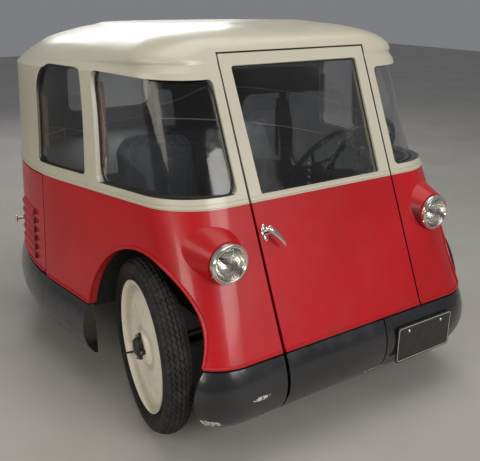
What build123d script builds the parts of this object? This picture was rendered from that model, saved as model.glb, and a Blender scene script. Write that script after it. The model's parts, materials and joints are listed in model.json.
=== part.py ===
from build123d import *

import os
from collections import namedtuple
from math import acos, atan2, cos, hypot, radians, sin, sqrt, tan

os.makedirs("parts", exist_ok=True)

# A three wheeled car, in millimetres. It faces -Y, +X is its left side and
# +Z is up, with the origin on the floor under the middle of the bounding box.

# wheels and axles
wheelbase = 1470
front_axle_y = -760
rear_axle_y = front_axle_y + wheelbase
tyre_radius = 325
tyre_width = 100
crown_half = tyre_width / 2 - 10     # the tread's rounded crown reaches this far each side
crown_drop = 14
rim_radius = 245
rim_width = 84
wheel_x = 640            # middle of a front tyre
kingpin_x = 560
parked_steer = -8.5      # the front wheels are parked turned to the right
axle_z = tyre_radius
wheel_offset = wheel_x - kingpin_x

# body shell
foot_z = 385             # foot of the red panels
belt_z = 862             # where the red panels meet the cream shell
head_z = 1285            # where the roof starts to curve in
crown_z = 1428
belt_fall = 2.0          # the belt and the roof fall towards the tail by this angle
tail_y = rear_axle_y + 444.3
widest_y = (front_axle_y + rear_axle_y) / 2 + 55
front_foot_y = -1148
front_slope = 23.8       # the flat front leans back by this angle
wall = 30                # thickness of the body's walls and of the door
glass_thickness = 4
glass_inset = 13
moving_gap = 6           # between a moving panel and a fixed one
seat_gap = 0.3           # between pieces that are fitted together

# door and its hinge
door_half = 333
door_top_z = 1340
door_gap_foot = 13       # the latch side stands open wider at its foot
hinge_gap = 7            # the hinge side of the door, so that its corner clears as it swings
cover_hinge_gap = 11     # the same at the rear edge of an engine cover
pivot_in = 3             # a moving panel's axis: in from its hinge edge
pivot_depth = 4          # and down from its face
pin_radius = 3
glass_half_top = 289
glass_half_foot = 281
glass_top_z = 1300
glass_foot_z = 882
glass_corner = 12

# windows
corner_window_x = door_half + 41     # edge of the corner window beside the door
corner_sill_rise = 36                # above the belt
corner_rear_foot_y = -465
corner_rear_top_y = -405
corner_head_front_z = 1262           # the head line climbs slightly to the pillar
corner_head_rear_z = 1277
quarter_sill_rise = 50
quarter_front_foot_y = -387
quarter_front_top_y = -350
quarter_rear_y = -30
quarter_head_z = 1275
rear_window_half = 260
rear_window_foot = 870
rear_window_top = 1150
rear_window_corner = 60

# wheel arches, half ellipses about the axle
arch_half = tyre_radius + 10
arch_rise = tyre_radius + 50
sheet = 3
housing_gap = 8
housing_x = kingpin_x - 130          # inner wall of a wheel housing
crown_radius = (crown_half ** 2 + crown_drop ** 2) / (2 * crown_drop)
turning_radius = hypot(wheel_offset, tyre_radius - crown_radius) + crown_radius + moving_gap

# bumper
bumper_foot_z = 160
bumper_top_z = foot_z - moving_gap
bumper_inset = 24
bumper_seam_x = 132      # where the door's piece of the bumper ends

# panels, floor and frame
cover_seam_y = -62       # front edge of the engine covers
tail_half = 300          # the fixed tail panel reaches this far each side
floor_thickness = 20
floor_top = foot_z
floor_foot = floor_top - floor_thickness
rail_x = 300
rail_width = 40
rail_height = 45
pad_width, pad_length, pad_height = 60, 40, 24   # jacking pads under the frame
rail_foot = floor_foot - rail_height

# lamps
lamp_x, lamp_y, lamp_z = 489, -1036, 711
lamp_radius = 65
lamp_rim = 4
lamp_pod_wall = 8
lamp_pod_reach, lamp_pod_flare = 160, 20

# cabin
deck_z = 740
deck_front_y = rear_axle_y - 648
deck_thickness = 12
seat_front_y = -470
seat_rear_y = -56        # front face of the seat backs
cushion_foot_z = 455
cushion_top_z = 575
seat_back_top_z = 950
seat_x = 222
seat_width = 400

# steering
column_foot = Vector(380, -932, 806)     # on the inside of the front wall
column_top = Vector(380, -720, 905)
column_radius = 16
steering_radius = 165
grip_radius = 12

Level = namedtuple("Level", "height front corner_x corner_radius half_width tail_end tail_radius fall")
Bulge = namedtuple("Bulge", "height stand_out")


def front_y(height):
    """Where the leaning front plane lies at a height."""
    return front_foot_y + (height - foot_z) * tan(radians(front_slope))


foot = Level(foot_z, front_foot_y, 493, 180, 797, tail_y, 487, 0)
belt = Level(belt_z, front_y(belt_z), 425, 220, 772, tail_y - 30, 475, belt_fall)
head = Level(head_z, front_y(head_z), 409, 198, 748, tail_y - 60, 458, belt_fall)
RoofStep = namedtuple(
    "RoofStep", "drop set_back corner_x corner_radius half_width tail_in tail_radius inner_drop"
)
roof_steps = [
    RoofStep(111, 0, 404, 193, 710, 100, 436, 12),
    RoofStep(84, 0, 400, 190, 670, 147, 411, 20),
    RoofStep(59, 7, 372, 184, 627, 198, 385, 26),
    RoofStep(41, 24, 338, 177, 582, 252, 358, wall),
    RoofStep(29, 51, 309, 168, 534, 308, 328, wall),
    RoofStep(19, 86, 277, 159, 486, 363, 298, wall),
    RoofStep(11, 131, 241, 150, 438, 418, 266, wall),
    RoofStep(5, 185, 202, 140, 389, 471, 233, wall),
    RoofStep(0, 249, 160, 130, 340, 524, 200, wall),
]
roof_levels = [
    Level(crown_z - step.drop, front_y(crown_z - step.drop) + step.set_back, step.corner_x,
          step.corner_radius, step.half_width, tail_y - step.tail_in, step.tail_radius, belt_fall)
    for step in roof_steps
]
# inside the corners the walls and the glass turn on a wider curve, which leaves a ledge under the glass
belt_inside = belt._replace(corner_x=374, corner_radius=262)
head_inside = head._replace(corner_x=388, corner_radius=211)
bumper_bulges = [
    Bulge(bumper_foot_z, -14),
    Bulge(200, 14),
    Bulge(265, 30),
    Bulge(330, 22),
    Bulge(bumper_top_z, 2),
]


def side_arc(level):
    """Centre along X and radius of the long arc that joins a side to the tail."""
    reach = level.tail_end - widest_y - level.tail_radius
    spread = reach**2 / (level.half_width - level.tail_radius)
    radius = (spread + level.half_width + level.tail_radius) / 2
    return level.half_width - radius, radius


def plan_sketch(level, inset=0.0):
    """The body's plan at one level: flat front, round corners, then two arcs to the tail."""
    arc_x, arc_radius = side_arc(level)
    arc_y = widest_y - level.front
    tail_y_here = level.tail_end - level.tail_radius - level.front
    reach = arc_y - level.corner_radius
    across = level.corner_x - arc_x
    lean = atan2(reach, across) - acos((arc_radius - level.corner_radius) / hypot(reach, across))
    meeting = atan2(tail_y_here - arc_y, -arc_x)
    fall = radians(level.fall)
    plane = Plane(origin=(0, level.front, level.height), x_dir=(1, 0, 0), z_dir=(0, sin(fall), cos(fall)))

    def on_corner(turn):
        radius = level.corner_radius - inset
        return level.corner_x + radius * cos(turn), level.corner_radius + radius * sin(turn)

    def on_side(turn):
        radius = arc_radius - inset
        return arc_x + radius * cos(turn), arc_y + radius * sin(turn)

    def on_tail(turn):
        radius = level.tail_radius - inset
        return radius * cos(turn), tail_y_here + radius * sin(turn)

    with BuildSketch(plane) as plan:
        with BuildLine():
            Line((0, inset), (level.corner_x, inset))
            ThreePointArc((level.corner_x, inset), on_corner((radians(-90) - lean) / 2), on_corner(-lean))
            Line(on_corner(-lean), on_side(-lean))
            ThreePointArc(on_side(-lean), on_side((meeting - lean) / 2), on_side(meeting))
            ThreePointArc(on_side(meeting), on_tail((meeting + radians(90)) / 2), on_tail(radians(90)))
            mirror(about=Plane.YZ)
        make_face()
    return plan.sketch


def lofted(levels, inset=0.0, ruled=False):
    """A solid through the plan at each level, drawn in by the inset."""
    with BuildPart() as block:
        loft([plan_sketch(level, inset) for level in levels], ruled=ruled)
    return block.part


def span(x, y, z, mode=Mode.ADD):
    """A block between two bounds along each axis."""
    middle = tuple((low + high) / 2 for low, high in (x, y, z))
    size = [high - low for low, high in (x, y, z)]
    with Locations(middle):
        Box(*size, mode=mode)


def outward(side, start, end):
    """Bounds along X, from a start to an end on one side of the car."""
    return sorted((side * start, side * end))


def spun(points):
    """A ring about the X axis from corners given as (along the axis, radius)."""
    with BuildPart() as ring:
        with BuildSketch(Plane.XY):
            with BuildLine():
                Polyline(points, close=True)
            make_face()
        revolve(axis=Axis.X)
    return ring.part


def finish(block, name):
    """Label a piece and write it."""
    block.part.label = name
    export_step(block.part, f"parts/{name}.step")


far = 2000
sides = ((-1, "right"), (1, "left"))
door_plane = Plane(
    origin=(0, front_foot_y, foot_z),
    x_dir=(1, 0, 0),
    z_dir=(0, -cos(radians(front_slope)), sin(radians(front_slope))),
)


def up_slope(height):
    """Distance up the leaning front from its foot to a height."""
    return (height - foot_z) / cos(radians(front_slope))


def front_slab(corners, depth_in, depth_out=0.0, corner_radius=0.0):
    """A slab on the leaning front, its corners given as (x, height)."""
    with BuildPart() as slab:
        with BuildSketch(door_plane.offset(depth_out)) as outline:
            with BuildLine():
                Polyline([(x, up_slope(height)) for x, height in corners], close=True)
            make_face()
            if corner_radius:
                fillet(outline.vertices(), corner_radius)
        extrude(amount=-(depth_in + depth_out))
    return slab.part


def latch_x(height):
    """The door's latch edge, which leans in at the foot."""
    share = (door_top_z - height) / (door_top_z - foot_z)
    return -door_half + (door_gap_foot - moving_gap) * share


def door_corners(low, high):
    """The door's outline between two heights."""
    return [(latch_x(low), low), (door_half, low), (door_half, high), (latch_x(high), high)]


def doorway_corners(low, high):
    """The outline of the opening that the door closes."""
    latch_side = -door_half - moving_gap
    hinge_side = door_half + hinge_gap
    return [(latch_side, low), (hinge_side, low), (hinge_side, high), (latch_side, high)]


glass_corners = [(-glass_half_foot, glass_foot_z), (glass_half_foot, glass_foot_z),
                 (glass_half_top, glass_top_z), (-glass_half_top, glass_top_z)]
doorway = front_slab(doorway_corners(foot_z - 100, door_top_z + moving_gap), 150, 50)

# red ring and glass band, which the panels and panes are cut from
red_outer = lofted([foot, belt], ruled=True)
red_inner = lofted([foot, belt], inset=wall, ruled=True)
with BuildPart() as red_ring:
    add(red_outer)
    add(red_inner, mode=Mode.SUBTRACT)
    add(doorway, mode=Mode.SUBTRACT)

glass_top_level = head_inside._replace(height=head_z + 40, front=front_y(head_z + 40))
with BuildPart() as glass_band:
    add(lofted([belt_inside, glass_top_level], inset=glass_inset, ruled=True))
    add(lofted([belt_inside, glass_top_level], inset=glass_inset + glass_thickness, ruled=True),
        mode=Mode.SUBTRACT)


def belt_height(y):
    """Height of the falling belt at a place along the car."""
    return belt_z - (y - belt.front) * tan(radians(belt_fall))


def side_prism(corners, start, end, radii=()):
    """A solid across the car from an outline in (along the car, height), between two distances along X."""
    with BuildPart() as prism:
        with BuildSketch(Plane.YZ.offset(start)) as outline:
            with BuildLine():
                Polyline(corners, close=True)
            make_face()
            for corner, radius in radii:
                fillet(outline.vertices().sort_by_distance(Vector(*corner))[0], radius)
        extrude(amount=end - start)
    return prism.part


def corner_window(side, margin=0.0):
    """Space of a corner window, which runs round the front corner."""
    climb = (corner_head_rear_z - corner_head_front_z) / (corner_rear_top_y - front_axle_y)
    sill_front = belt_height(-far) + corner_sill_rise + margin
    sill_rear = belt_height(corner_rear_foot_y) + corner_sill_rise + margin
    head_front = corner_head_front_z - (far + front_axle_y) * climb - margin
    corners = [(-far, sill_front), (corner_rear_foot_y - margin, sill_rear),
               (corner_rear_top_y - margin, corner_head_rear_z - margin), (-far, head_front)]
    start = side * (corner_window_x + margin)
    with BuildPart() as space:
        add(side_prism(corners, start, side * far, ((corners[1], 24), (corners[2], 24))))
        inner_edges = space.faces().sort_by(lambda face: side * face.center().X)[0].edges().sort_by(Axis.Z)
        fillet([inner_edges[0], inner_edges[-1]], 20)
    return space.part


def quarter_window(side, margin=0.0):
    """Space of a quarter window, its upper rear corner well rounded."""
    sill = [belt_height(y) + quarter_sill_rise + margin for y in (quarter_front_foot_y, quarter_rear_y)]
    corners = [(quarter_front_foot_y + margin, sill[0]), (quarter_rear_y - margin, sill[1]),
               (quarter_rear_y - margin, quarter_head_z - margin),
               (quarter_front_top_y + margin, quarter_head_z - margin)]
    radii = ((corners[0], 14), (corners[1], 22), (corners[2], 120), (corners[3], 14))
    return side_prism(corners, side * rail_x, side * far, radii)


def rear_window(margin=0.0):
    """Space of the rear window."""
    with BuildPart() as space:
        span((margin - rear_window_half, rear_window_half - margin), (rear_axle_y, far),
             (rear_window_foot + margin, rear_window_top - margin))
        fillet(space.edges().filter_by(Axis.Y), rear_window_corner)
    return space.part


inner_roof = [level._replace(height=level.height - step.inner_drop)
              for level, step in zip(roof_levels, roof_steps)]
with BuildPart() as upper_shell:
    add(lofted([belt, head], ruled=True))
    add(lofted([head] + roof_levels))
    add(lofted([belt_inside, head_inside], inset=wall, ruled=True), mode=Mode.SUBTRACT)
    add(lofted([head_inside] + inner_roof, inset=wall), mode=Mode.SUBTRACT)
    add(doorway, mode=Mode.SUBTRACT)
    for side, word in sides:
        add(corner_window(side), mode=Mode.SUBTRACT)
        add(quarter_window(side), mode=Mode.SUBTRACT)
    add(rear_window(), mode=Mode.SUBTRACT)
finish(upper_shell, "upper_shell")

# glass of the fixed windows
with BuildPart() as side_windows:
    for side, word in sides:
        add(corner_window(side, seat_gap))
        add(quarter_window(side, seat_gap))
with BuildPart() as side_glasses:
    add(glass_band.part)
    add(side_windows.part, mode=Mode.INTERSECT)
finish(side_glasses, "side_glasses")
with BuildPart() as rear_glass:
    add(glass_band.part)
    add(rear_window(seat_gap), mode=Mode.INTERSECT)
finish(rear_glass, "rear_glass")


def arch_space(growth, start, end):
    """The space of a wheel arch about the front axle, between two distances along X."""
    with BuildPart() as space:
        with BuildSketch(Plane.YZ.offset(start)):
            with Locations((front_axle_y, axle_z)):
                Ellipse(arch_half + growth, arch_rise + growth)
            with Locations((front_axle_y, axle_z / 2)):
                Rectangle(2 * (arch_half + growth), axle_z)
        extrude(amount=end - start)
    return space.part


def turning_room(side):
    """The room in which a front tyre's tread turns about the middle of its kingpin."""
    with BuildPart() as room:
        with Locations((side * kingpin_x, front_axle_y, axle_z)):
            Sphere(turning_radius)
    return room.part


# lower panels: sides with the front corners, engine covers and tail
def lamp_pod(side):
    """The rounded block that carries a headlamp on the front corner."""
    with BuildPart() as pod:
        with BuildSketch(Plane.XZ.offset(-lamp_y - 6)):
            with Locations((side * lamp_x, lamp_z)):
                Circle(lamp_radius + lamp_pod_wall)
        extrude(amount=-lamp_pod_reach, taper=-lamp_pod_flare)
        add(red_inner, mode=Mode.SUBTRACT)
    return pod.part


def lamp_bore(side):
    """The space that a headlamp fills."""
    with BuildPart() as bore:
        with BuildSketch(Plane.XZ.offset(-lamp_y - 100)):
            with Locations((side * lamp_x, lamp_z)):
                Circle(lamp_radius + seat_gap)
        extrude(amount=200)
        with BuildSketch(Plane.XZ.offset(-lamp_y)):
            with Locations((side * lamp_x, lamp_z)):
                Circle(lamp_radius + lamp_rim + seat_gap)
        extrude(amount=80)
    return bore.part


cover_front_y = cover_seam_y + moving_gap
cover_corners = [(cover_front_y, foot_z + moving_gap), (far, foot_z + moving_gap),
                 (far, belt_height(far) - moving_gap),
                 (cover_front_y, belt_height(cover_front_y) - moving_gap)]
louvre_heights = range(430, 631, 40)
louvre_start, louvre_reach = 6, 246      # along the car, from the widest place
louvre_depth = 12        # stands out of the skin at its lower lip
louvre_rise = 24
louvre_taper = 18        # its ends slope in by this much
louvre_sheet = 3
louvre_turn = 15         # more than the angle that a louvre takes up about the arc's centre
skin_slope = (belt.half_width - foot.half_width) / (belt_z - foot_z)


def louvre_row(inset, root):
    """The bulges of the left cover's louvres, turned about the centre of the side's long arc."""
    with BuildPart() as row:
        for height in louvre_heights:
            share = (height - foot_z) / (belt_z - foot_z)
            arc_x, radius = [low + (high - low) * share for low, high in zip(side_arc(foot), side_arc(belt))]
            skin_x = arc_x + radius
            head_z_here = height + louvre_rise - inset
            top = (skin_x + skin_slope * louvre_rise - inset, head_z_here)
            bow = (skin_x + 0.8 * louvre_depth - inset, height + louvre_rise / 2)
            lip = (skin_x + louvre_depth - inset, height)
            start_y = widest_y + louvre_start + inset
            end_y = widest_y + louvre_reach - inset
            outline = [(start_y, height), (end_y, height), (end_y - louvre_taper, head_z_here),
                       (start_y + louvre_taper, head_z_here)]
            with BuildPart(mode=Mode.PRIVATE) as bulge:
                with BuildSketch(Plane.XZ.offset(-widest_y)):
                    with BuildLine():
                        ThreePointArc(top, bow, lip)
                        Polyline(lip, (skin_x - root, height), (skin_x - root, head_z_here), top)
                    make_face()
                revolve(axis=Axis((arc_x, widest_y, 0), (0, 0, 1)), revolution_arc=louvre_turn)
                add(side_prism(outline, rail_x, far), mode=Mode.INTERSECT)
            add(bulge.part)
    return row.part


louvre_bulges = louvre_row(0, wall / 3)
louvre_slits = louvre_row(louvre_sheet, wall + 5)

for side, word in sides:
    with BuildPart() as body_side:
        add(red_ring.part)
        span(outward(side, door_half, far), (-far, cover_seam_y), (0, far), mode=Mode.INTERSECT)
        add(arch_space(0, -far, far), mode=Mode.SUBTRACT)
        add(lamp_pod(side))
        add(lamp_bore(side), mode=Mode.SUBTRACT)
        add(turning_room(side), mode=Mode.SUBTRACT)
    finish(body_side, f"body_side_{word}")

    with BuildPart() as engine_cover:
        add(red_ring.part)
        add(side_prism(cover_corners, side * (tail_half + cover_hinge_gap), side * far), mode=Mode.INTERSECT)
        add(louvre_bulges if side > 0 else mirror(louvre_bulges, about=Plane.YZ))
        add(louvre_slits if side > 0 else mirror(louvre_slits, about=Plane.YZ), mode=Mode.SUBTRACT)
    finish(engine_cover, f"engine_cover_{word}")

with BuildPart() as tail_panel:
    add(red_ring.part)
    span((-tail_half, tail_half), (0, far), (0, far), mode=Mode.INTERSECT)
finish(tail_panel, "tail_panel")

# bumper: a half round ring at the foot, cut into its sections
with BuildPart() as bumper_ring:
    add(lofted([foot._replace(
        height=bulge.height,
        front=foot.front - bulge.stand_out,
        corner_radius=foot.corner_radius + bulge.stand_out,
        half_width=foot.half_width + bulge.stand_out,
        tail_end=foot.tail_end + bulge.stand_out,
        tail_radius=foot.tail_radius + bulge.stand_out,
    ) for bulge in bumper_bulges]))
    add(lofted([foot._replace(height=bumper_foot_z - 1), foot._replace(height=bumper_top_z + 1)],
               inset=bumper_inset, ruled=True), mode=Mode.SUBTRACT)

arch_front_y = front_axle_y - arch_half
arch_rear_y = front_axle_y + arch_half
fixed_bumper_bounds = [
    ((-far, -door_half - moving_gap), (-far, arch_front_y)),
    ((bumper_seam_x + moving_gap, far), (-far, arch_front_y)),
    ((-far, far), (arch_rear_y, far)),
]
door_bumper_x = (door_gap_foot - moving_gap - door_half, bumper_seam_x)
closing_foot_z, closing_top_z = 208, 232     # the gap at the latch side closes between these heights
bumper_tongue_in, bumper_tongue_depth = 40, 4
with BuildPart() as bumper_bounds:
    for x, y in fixed_bumper_bounds:
        span(x, y, (0, far))
with BuildPart() as body_bumpers:
    add(bumper_ring.part)
    add(bumper_bounds.part, mode=Mode.INTERSECT)
    for side, word in sides:
        add(turning_room(side), mode=Mode.SUBTRACT)
finish(body_bumpers, "body_bumpers")

with BuildPart() as door_bumper:
    with BuildSketch(Plane.XZ):
        with BuildLine():
            Polyline((-door_half, 0), (door_bumper_x[1], 0), (door_bumper_x[1], foot_z),
                     (door_bumper_x[0], foot_z), (door_bumper_x[0], closing_top_z),
                     (-door_half, closing_foot_z), close=True)
        make_face()
    extrude(amount=far)
    add(bumper_ring.part, mode=Mode.INTERSECT)
    span((door_bumper_x[0] + bumper_tongue_in, door_bumper_x[1] - bumper_tongue_in),
         (front_foot_y + bumper_tongue_depth, front_foot_y + bumper_inset - bumper_tongue_depth),
         (bumper_top_z - 20, foot_z))
finish(door_bumper, "door_bumper")

# number plate, left bare, on the bumper
plate_x, plate_z = 335, 262
plate_width, plate_height, plate_thickness = 300, 152, 6
plate_hole_x = 89
plate_hole_z = 50
plate_hole_radius = 3.5
plate_back_y = front_foot_y - max(bulge.stand_out for bulge in bumper_bulges) - seat_gap
with BuildPart() as plate:
    with BuildSketch(Plane.XZ.offset(-plate_back_y)):
        with Locations((plate_x, plate_z)):
            RectangleRounded(plate_width, plate_height, 12)
        with Locations((plate_x - plate_hole_x, plate_z + plate_hole_z),
                       (plate_x + plate_hole_x, plate_z + plate_hole_z)):
            Circle(plate_hole_radius, mode=Mode.SUBTRACT)
    extrude(amount=plate_thickness)
finish(plate, "number_plate")

# the door
with BuildPart() as door_panel:
    add(front_slab(door_corners(foot_z - 60, belt_z), wall))
    span((-far, far), (-far, far), (0, foot_z), mode=Mode.SUBTRACT)
finish(door_panel, "door_panel")

with BuildPart() as door_frame:
    add(front_slab(door_corners(belt_z, door_top_z), wall))
    add(front_slab(glass_corners, 60, 30, glass_corner), mode=Mode.SUBTRACT)
finish(door_frame, "door_frame")

with BuildPart() as door_glass:
    add(front_slab(glass_corners, glass_inset + glass_thickness, -glass_inset, glass_corner))
finish(door_glass, "door_glass")

handle_x, handle_z = 28 - door_half, 763
handle_plane = Plane(origin=door_plane.from_local_coords((handle_x, up_slope(handle_z), 0)),
                     x_dir=door_plane.x_dir, z_dir=door_plane.z_dir)
with BuildPart() as door_handle:
    with BuildSketch(handle_plane):
        Ellipse(14, 30)
    extrude(amount=6)
    with BuildSketch(handle_plane.offset(6)):
        Circle(7)
    extrude(amount=30)
    with BuildSketch(handle_plane.offset(34)):
        with BuildLine():
            Polyline((-9, 12), (-2, 19), (8, 16), (53, -48), (46, -53), (-7, -3), (-9, 12))
        make_face()
    extrude(amount=12)
finish(door_handle, "door_handle")

# headlamps: a rim and bowl turned about its axis, and its lens
lens_back = -4
lens_thickness = 5
glass_seat = lamp_radius - 8
lamp_bowl = [(-14, lamp_radius + lamp_rim), (0, lamp_radius + lamp_rim), (0, lamp_radius),
             (12, lamp_radius), (42, 56), (62, 34), (66, 0), (60, 0), (56, 30), (36, 50),
             (8, glass_seat), (-14, glass_seat)]
with BuildPart() as headlamps:
    for side, word in sides:
        with Locations(Location((side * lamp_x, lamp_y, lamp_z), (0, 0, 90))):
            add(spun(lamp_bowl))
finish(headlamps, "headlamps")
with BuildPart() as lenses:
    with BuildSketch(Plane.XZ.offset(-lamp_y - lens_back)):
        with Locations((-lamp_x, lamp_z), (lamp_x, lamp_z)):
            Circle(glass_seat - seat_gap)
    extrude(amount=lens_thickness)
finish(lenses, "headlamp_lenses")

# floor, chassis and wheel housings
housing_reach = arch_half + housing_gap + sheet + seat_gap
wheel_slot_half = 95
wheel_slot_reach = tyre_radius + 20
with BuildPart() as floor_pan:
    add(lofted([foot._replace(height=floor_foot), foot._replace(height=floor_top)],
               inset=bumper_inset + seat_gap, ruled=True))
    for side, word in sides:
        span(outward(side, housing_x - sheet - seat_gap, far),
             (front_axle_y - housing_reach, front_axle_y + housing_reach), (0, far), mode=Mode.SUBTRACT)
    span((-door_half - 20, door_half + 20), (-far, front_foot_y + 50), (0, far), mode=Mode.SUBTRACT)
    span((-wheel_slot_half, wheel_slot_half),
         (rear_axle_y - wheel_slot_reach, rear_axle_y + wheel_slot_reach), (0, far), mode=Mode.SUBTRACT)
finish(floor_pan, "floor_pan")

with BuildPart() as housings:
    for side, word in sides:
        add(arch_space(housing_gap + sheet, side * (housing_x - sheet), side * far))
    for side, word in sides:
        add(arch_space(housing_gap, side * housing_x, side * far), mode=Mode.SUBTRACT)
    add(lofted([foot._replace(height=floor_foot), foot, belt], inset=wall + seat_gap, ruled=True),
        mode=Mode.INTERSECT)
finish(housings, "wheel_housings")

rail_front_y, rail_rear_y = -1080, rear_axle_y + 250
cross_members = [-1060, -120, rear_axle_y - 410]
cross_half = 20
pads = [(-rail_x, -400), (rail_x, -400), (0, cross_members[-1])]
with BuildPart() as chassis:
    for side, word in sides:
        x = side * rail_x
        span((x - rail_width / 2, x + rail_width / 2), (rail_front_y, rail_rear_y), (rail_foot, floor_foot))
    for y in cross_members:
        span((-rail_x, rail_x), (y - cross_half, y + cross_half), (rail_foot, floor_foot))
    with Locations(*[(x, y, rail_foot - pad_height / 2) for x, y in pads]):
        Box(pad_width, pad_length, pad_height)
finish(chassis, "chassis_frame")

# cabin: rear deck, engine block under it, seats
with BuildPart() as rear_deck:
    span((-far, far), (deck_front_y, far), (deck_z, deck_z + deck_thickness))
    span((-far, far), (deck_front_y, deck_front_y + deck_thickness), (floor_top, deck_z))
    add(lofted([foot, belt], inset=wall + moving_gap + 1, ruled=True), mode=Mode.INTERSECT)
finish(rear_deck, "rear_deck")

engine_half, engine_length, engine_height = 210, 220, 300
engine_front_y = deck_front_y + 50
with BuildPart() as engine:
    span((-engine_half, engine_half), (engine_front_y, engine_front_y + engine_length),
         (floor_top, floor_top + engine_height))
finish(engine, "engine_block")

cushion_half = housing_x - sheet - 5
with BuildPart() as seat_cushion:
    span((-cushion_half, cushion_half), (seat_front_y, seat_rear_y - seat_gap),
         (cushion_foot_z, cushion_top_z))
    fillet(seat_cushion.edges().filter_by(Axis.X), 25)
finish(seat_cushion, "seat_cushion")
with BuildPart() as seat_base:
    span((17 - cushion_half, cushion_half - 17), (seat_front_y + 30, seat_rear_y - 34),
         (floor_top, cushion_foot_z - seat_gap))
finish(seat_base, "seat_base")
with BuildPart() as seat_backs:
    for side, word in sides:
        x = side * seat_x
        span((x - seat_width / 2, x + seat_width / 2), (seat_rear_y, deck_front_y - seat_gap),
             (cushion_foot_z + 20, seat_back_top_z))
    fillet(seat_backs.edges().filter_by(Axis.Y).group_by(Axis.Z)[-1], 110)
finish(seat_backs, "seat_backs")

# front axle: beam with an eye and a kingpin at each end
beam_z = axle_z - 35
beam_radius = 20
eye_half = 34
kingpin_radius = 10
fork_reach = 18
with BuildPart() as front_axle:
    with BuildSketch(Plane.YZ):
        with Locations((front_axle_y, beam_z)):
            Circle(beam_radius)
    extrude(amount=kingpin_x - 40, both=True)
    for side, word in sides:
        with Locations((side * kingpin_x, front_axle_y, axle_z)):
            Cylinder(22, 2 * eye_half)
            Cylinder(kingpin_radius, 2 * (eye_half + fork_reach))
        span(outward(side, kingpin_x - 45, kingpin_x - 15), (front_axle_y - 14, front_axle_y + 14),
             (beam_z + 4, axle_z + 20))
        span(outward(side, rail_x - 25, rail_x + 25), (front_axle_y - 60, front_axle_y + 60),
             (beam_z + 12, rail_foot))
finish(front_axle, "front_axle")

# a tyre, made about a spin axis along X
bead_radius = rim_radius - 9
tyre_seat = bead_radius + seat_gap
half_tyre = tyre_width / 2
half_rim = rim_width / 2
bead_half = half_rim - 11
side_radius = (rim_radius + tyre_radius) / 2 - 5
shoulder_radius = tyre_radius - crown_drop
with BuildPart() as tyre_shape:
    with BuildSketch(Plane.XY):
        with BuildLine():
            Polyline((-bead_half - 2, rim_radius + 2), (-bead_half, tyre_seat), (bead_half, tyre_seat),
                     (bead_half + 2, rim_radius + 2))
            ThreePointArc((bead_half + 2, rim_radius + 2), (half_tyre, side_radius),
                          (crown_half, shoulder_radius))
            ThreePointArc((crown_half, shoulder_radius), (0, tyre_radius),
                          (-crown_half, shoulder_radius))
            ThreePointArc((-crown_half, shoulder_radius), (-half_tyre, side_radius),
                          (-bead_half - 2, rim_radius + 2))
        make_face()
    revolve(axis=Axis.X)

# rim channel and dished disc with its centre boss, the outer face towards +X
boss_face = 38
boss_thickness = 5
disc_hole = 36
disc_shape = spun([
    (-half_rim, rim_radius), (4 - half_rim, rim_radius), (8 - half_rim, bead_radius),
    (half_rim - 8, bead_radius), (half_rim - 4, rim_radius), (half_rim, rim_radius),
    (half_rim, rim_radius - 6), (37, rim_radius - 15), (22, rim_radius - 22), (16, 200), (24, 90), (30, 64),
    (boss_face, 56), (boss_face, disc_hole), (boss_face - boss_thickness, disc_hole),
    (boss_face - boss_thickness, 52), (26, 60), (19, 90), (11, 202), (15, rim_radius - 16),
    (5 - half_rim, rim_radius - 16), (-half_rim, rim_radius - 5),
])
nut_circle = 45
nut_count = 4
nut_height = 9
with BuildPart() as wheel_shape:
    add(disc_shape)
    with BuildSketch(Plane.YZ.offset(boss_face)):
        with PolarLocations(nut_circle, nut_count):
            RegularPolygon(8, 6)
    extrude(amount=nut_height)
    with BuildSketch(Plane.YZ.offset(boss_face + nut_height)):
        with PolarLocations(nut_circle, nut_count):
            Circle(4.5)
    extrude(amount=8)

# hubs, bored for the spindle or the rear axle
spindle_radius = 14
hub_bore = spindle_radius + 0.5
hub_radius = disc_hole - 2
flange_face = boss_face - boss_thickness - seat_gap
hub_back = -34
hub_cap = 62
front_hub_shape = spun([
    (hub_back, hub_bore), (hub_back, 30), (22, 30), (22, 50), (flange_face, 50), (flange_face, hub_radius),
    (hub_cap - 6, hub_radius), (hub_cap, 28), (hub_cap, 0), (hub_cap - 12, 0), (hub_cap - 12, hub_bore),
])
rear_half_hub = 60
rear_hub_shape = spun([
    (-rear_half_hub, hub_bore), (-rear_half_hub, 28), (22, 28), (22, 50), (flange_face, 50),
    (flange_face, hub_radius), (rear_half_hub, hub_radius), (rear_half_hub, hub_bore),
])

knuckle_places = {
    word: Location((side * kingpin_x, front_axle_y, axle_z), (0, 0, parked_steer)) for side, word in sides
}
wheel_places = {
    "front_right": knuckle_places["right"] * Location((-wheel_offset, 0, 0), (0, 0, 180)),
    "front_left": knuckle_places["left"] * Location((wheel_offset, 0, 0)),
    "rear": Location((0, rear_axle_y, axle_z)),
}
for place_name, place in wheel_places.items():
    with BuildPart() as tyre:
        with Locations(place):
            add(tyre_shape.part)
    finish(tyre, f"tyre_{place_name}")
    with BuildPart() as wheel:
        with Locations(place):
            add(wheel_shape.part)
    finish(wheel, f"wheel_{place_name}")
    with BuildPart() as hub:
        with Locations(place):
            add(rear_hub_shape if place_name == "rear" else front_hub_shape)
    finish(hub, f"hub_{place_name}")

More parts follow.
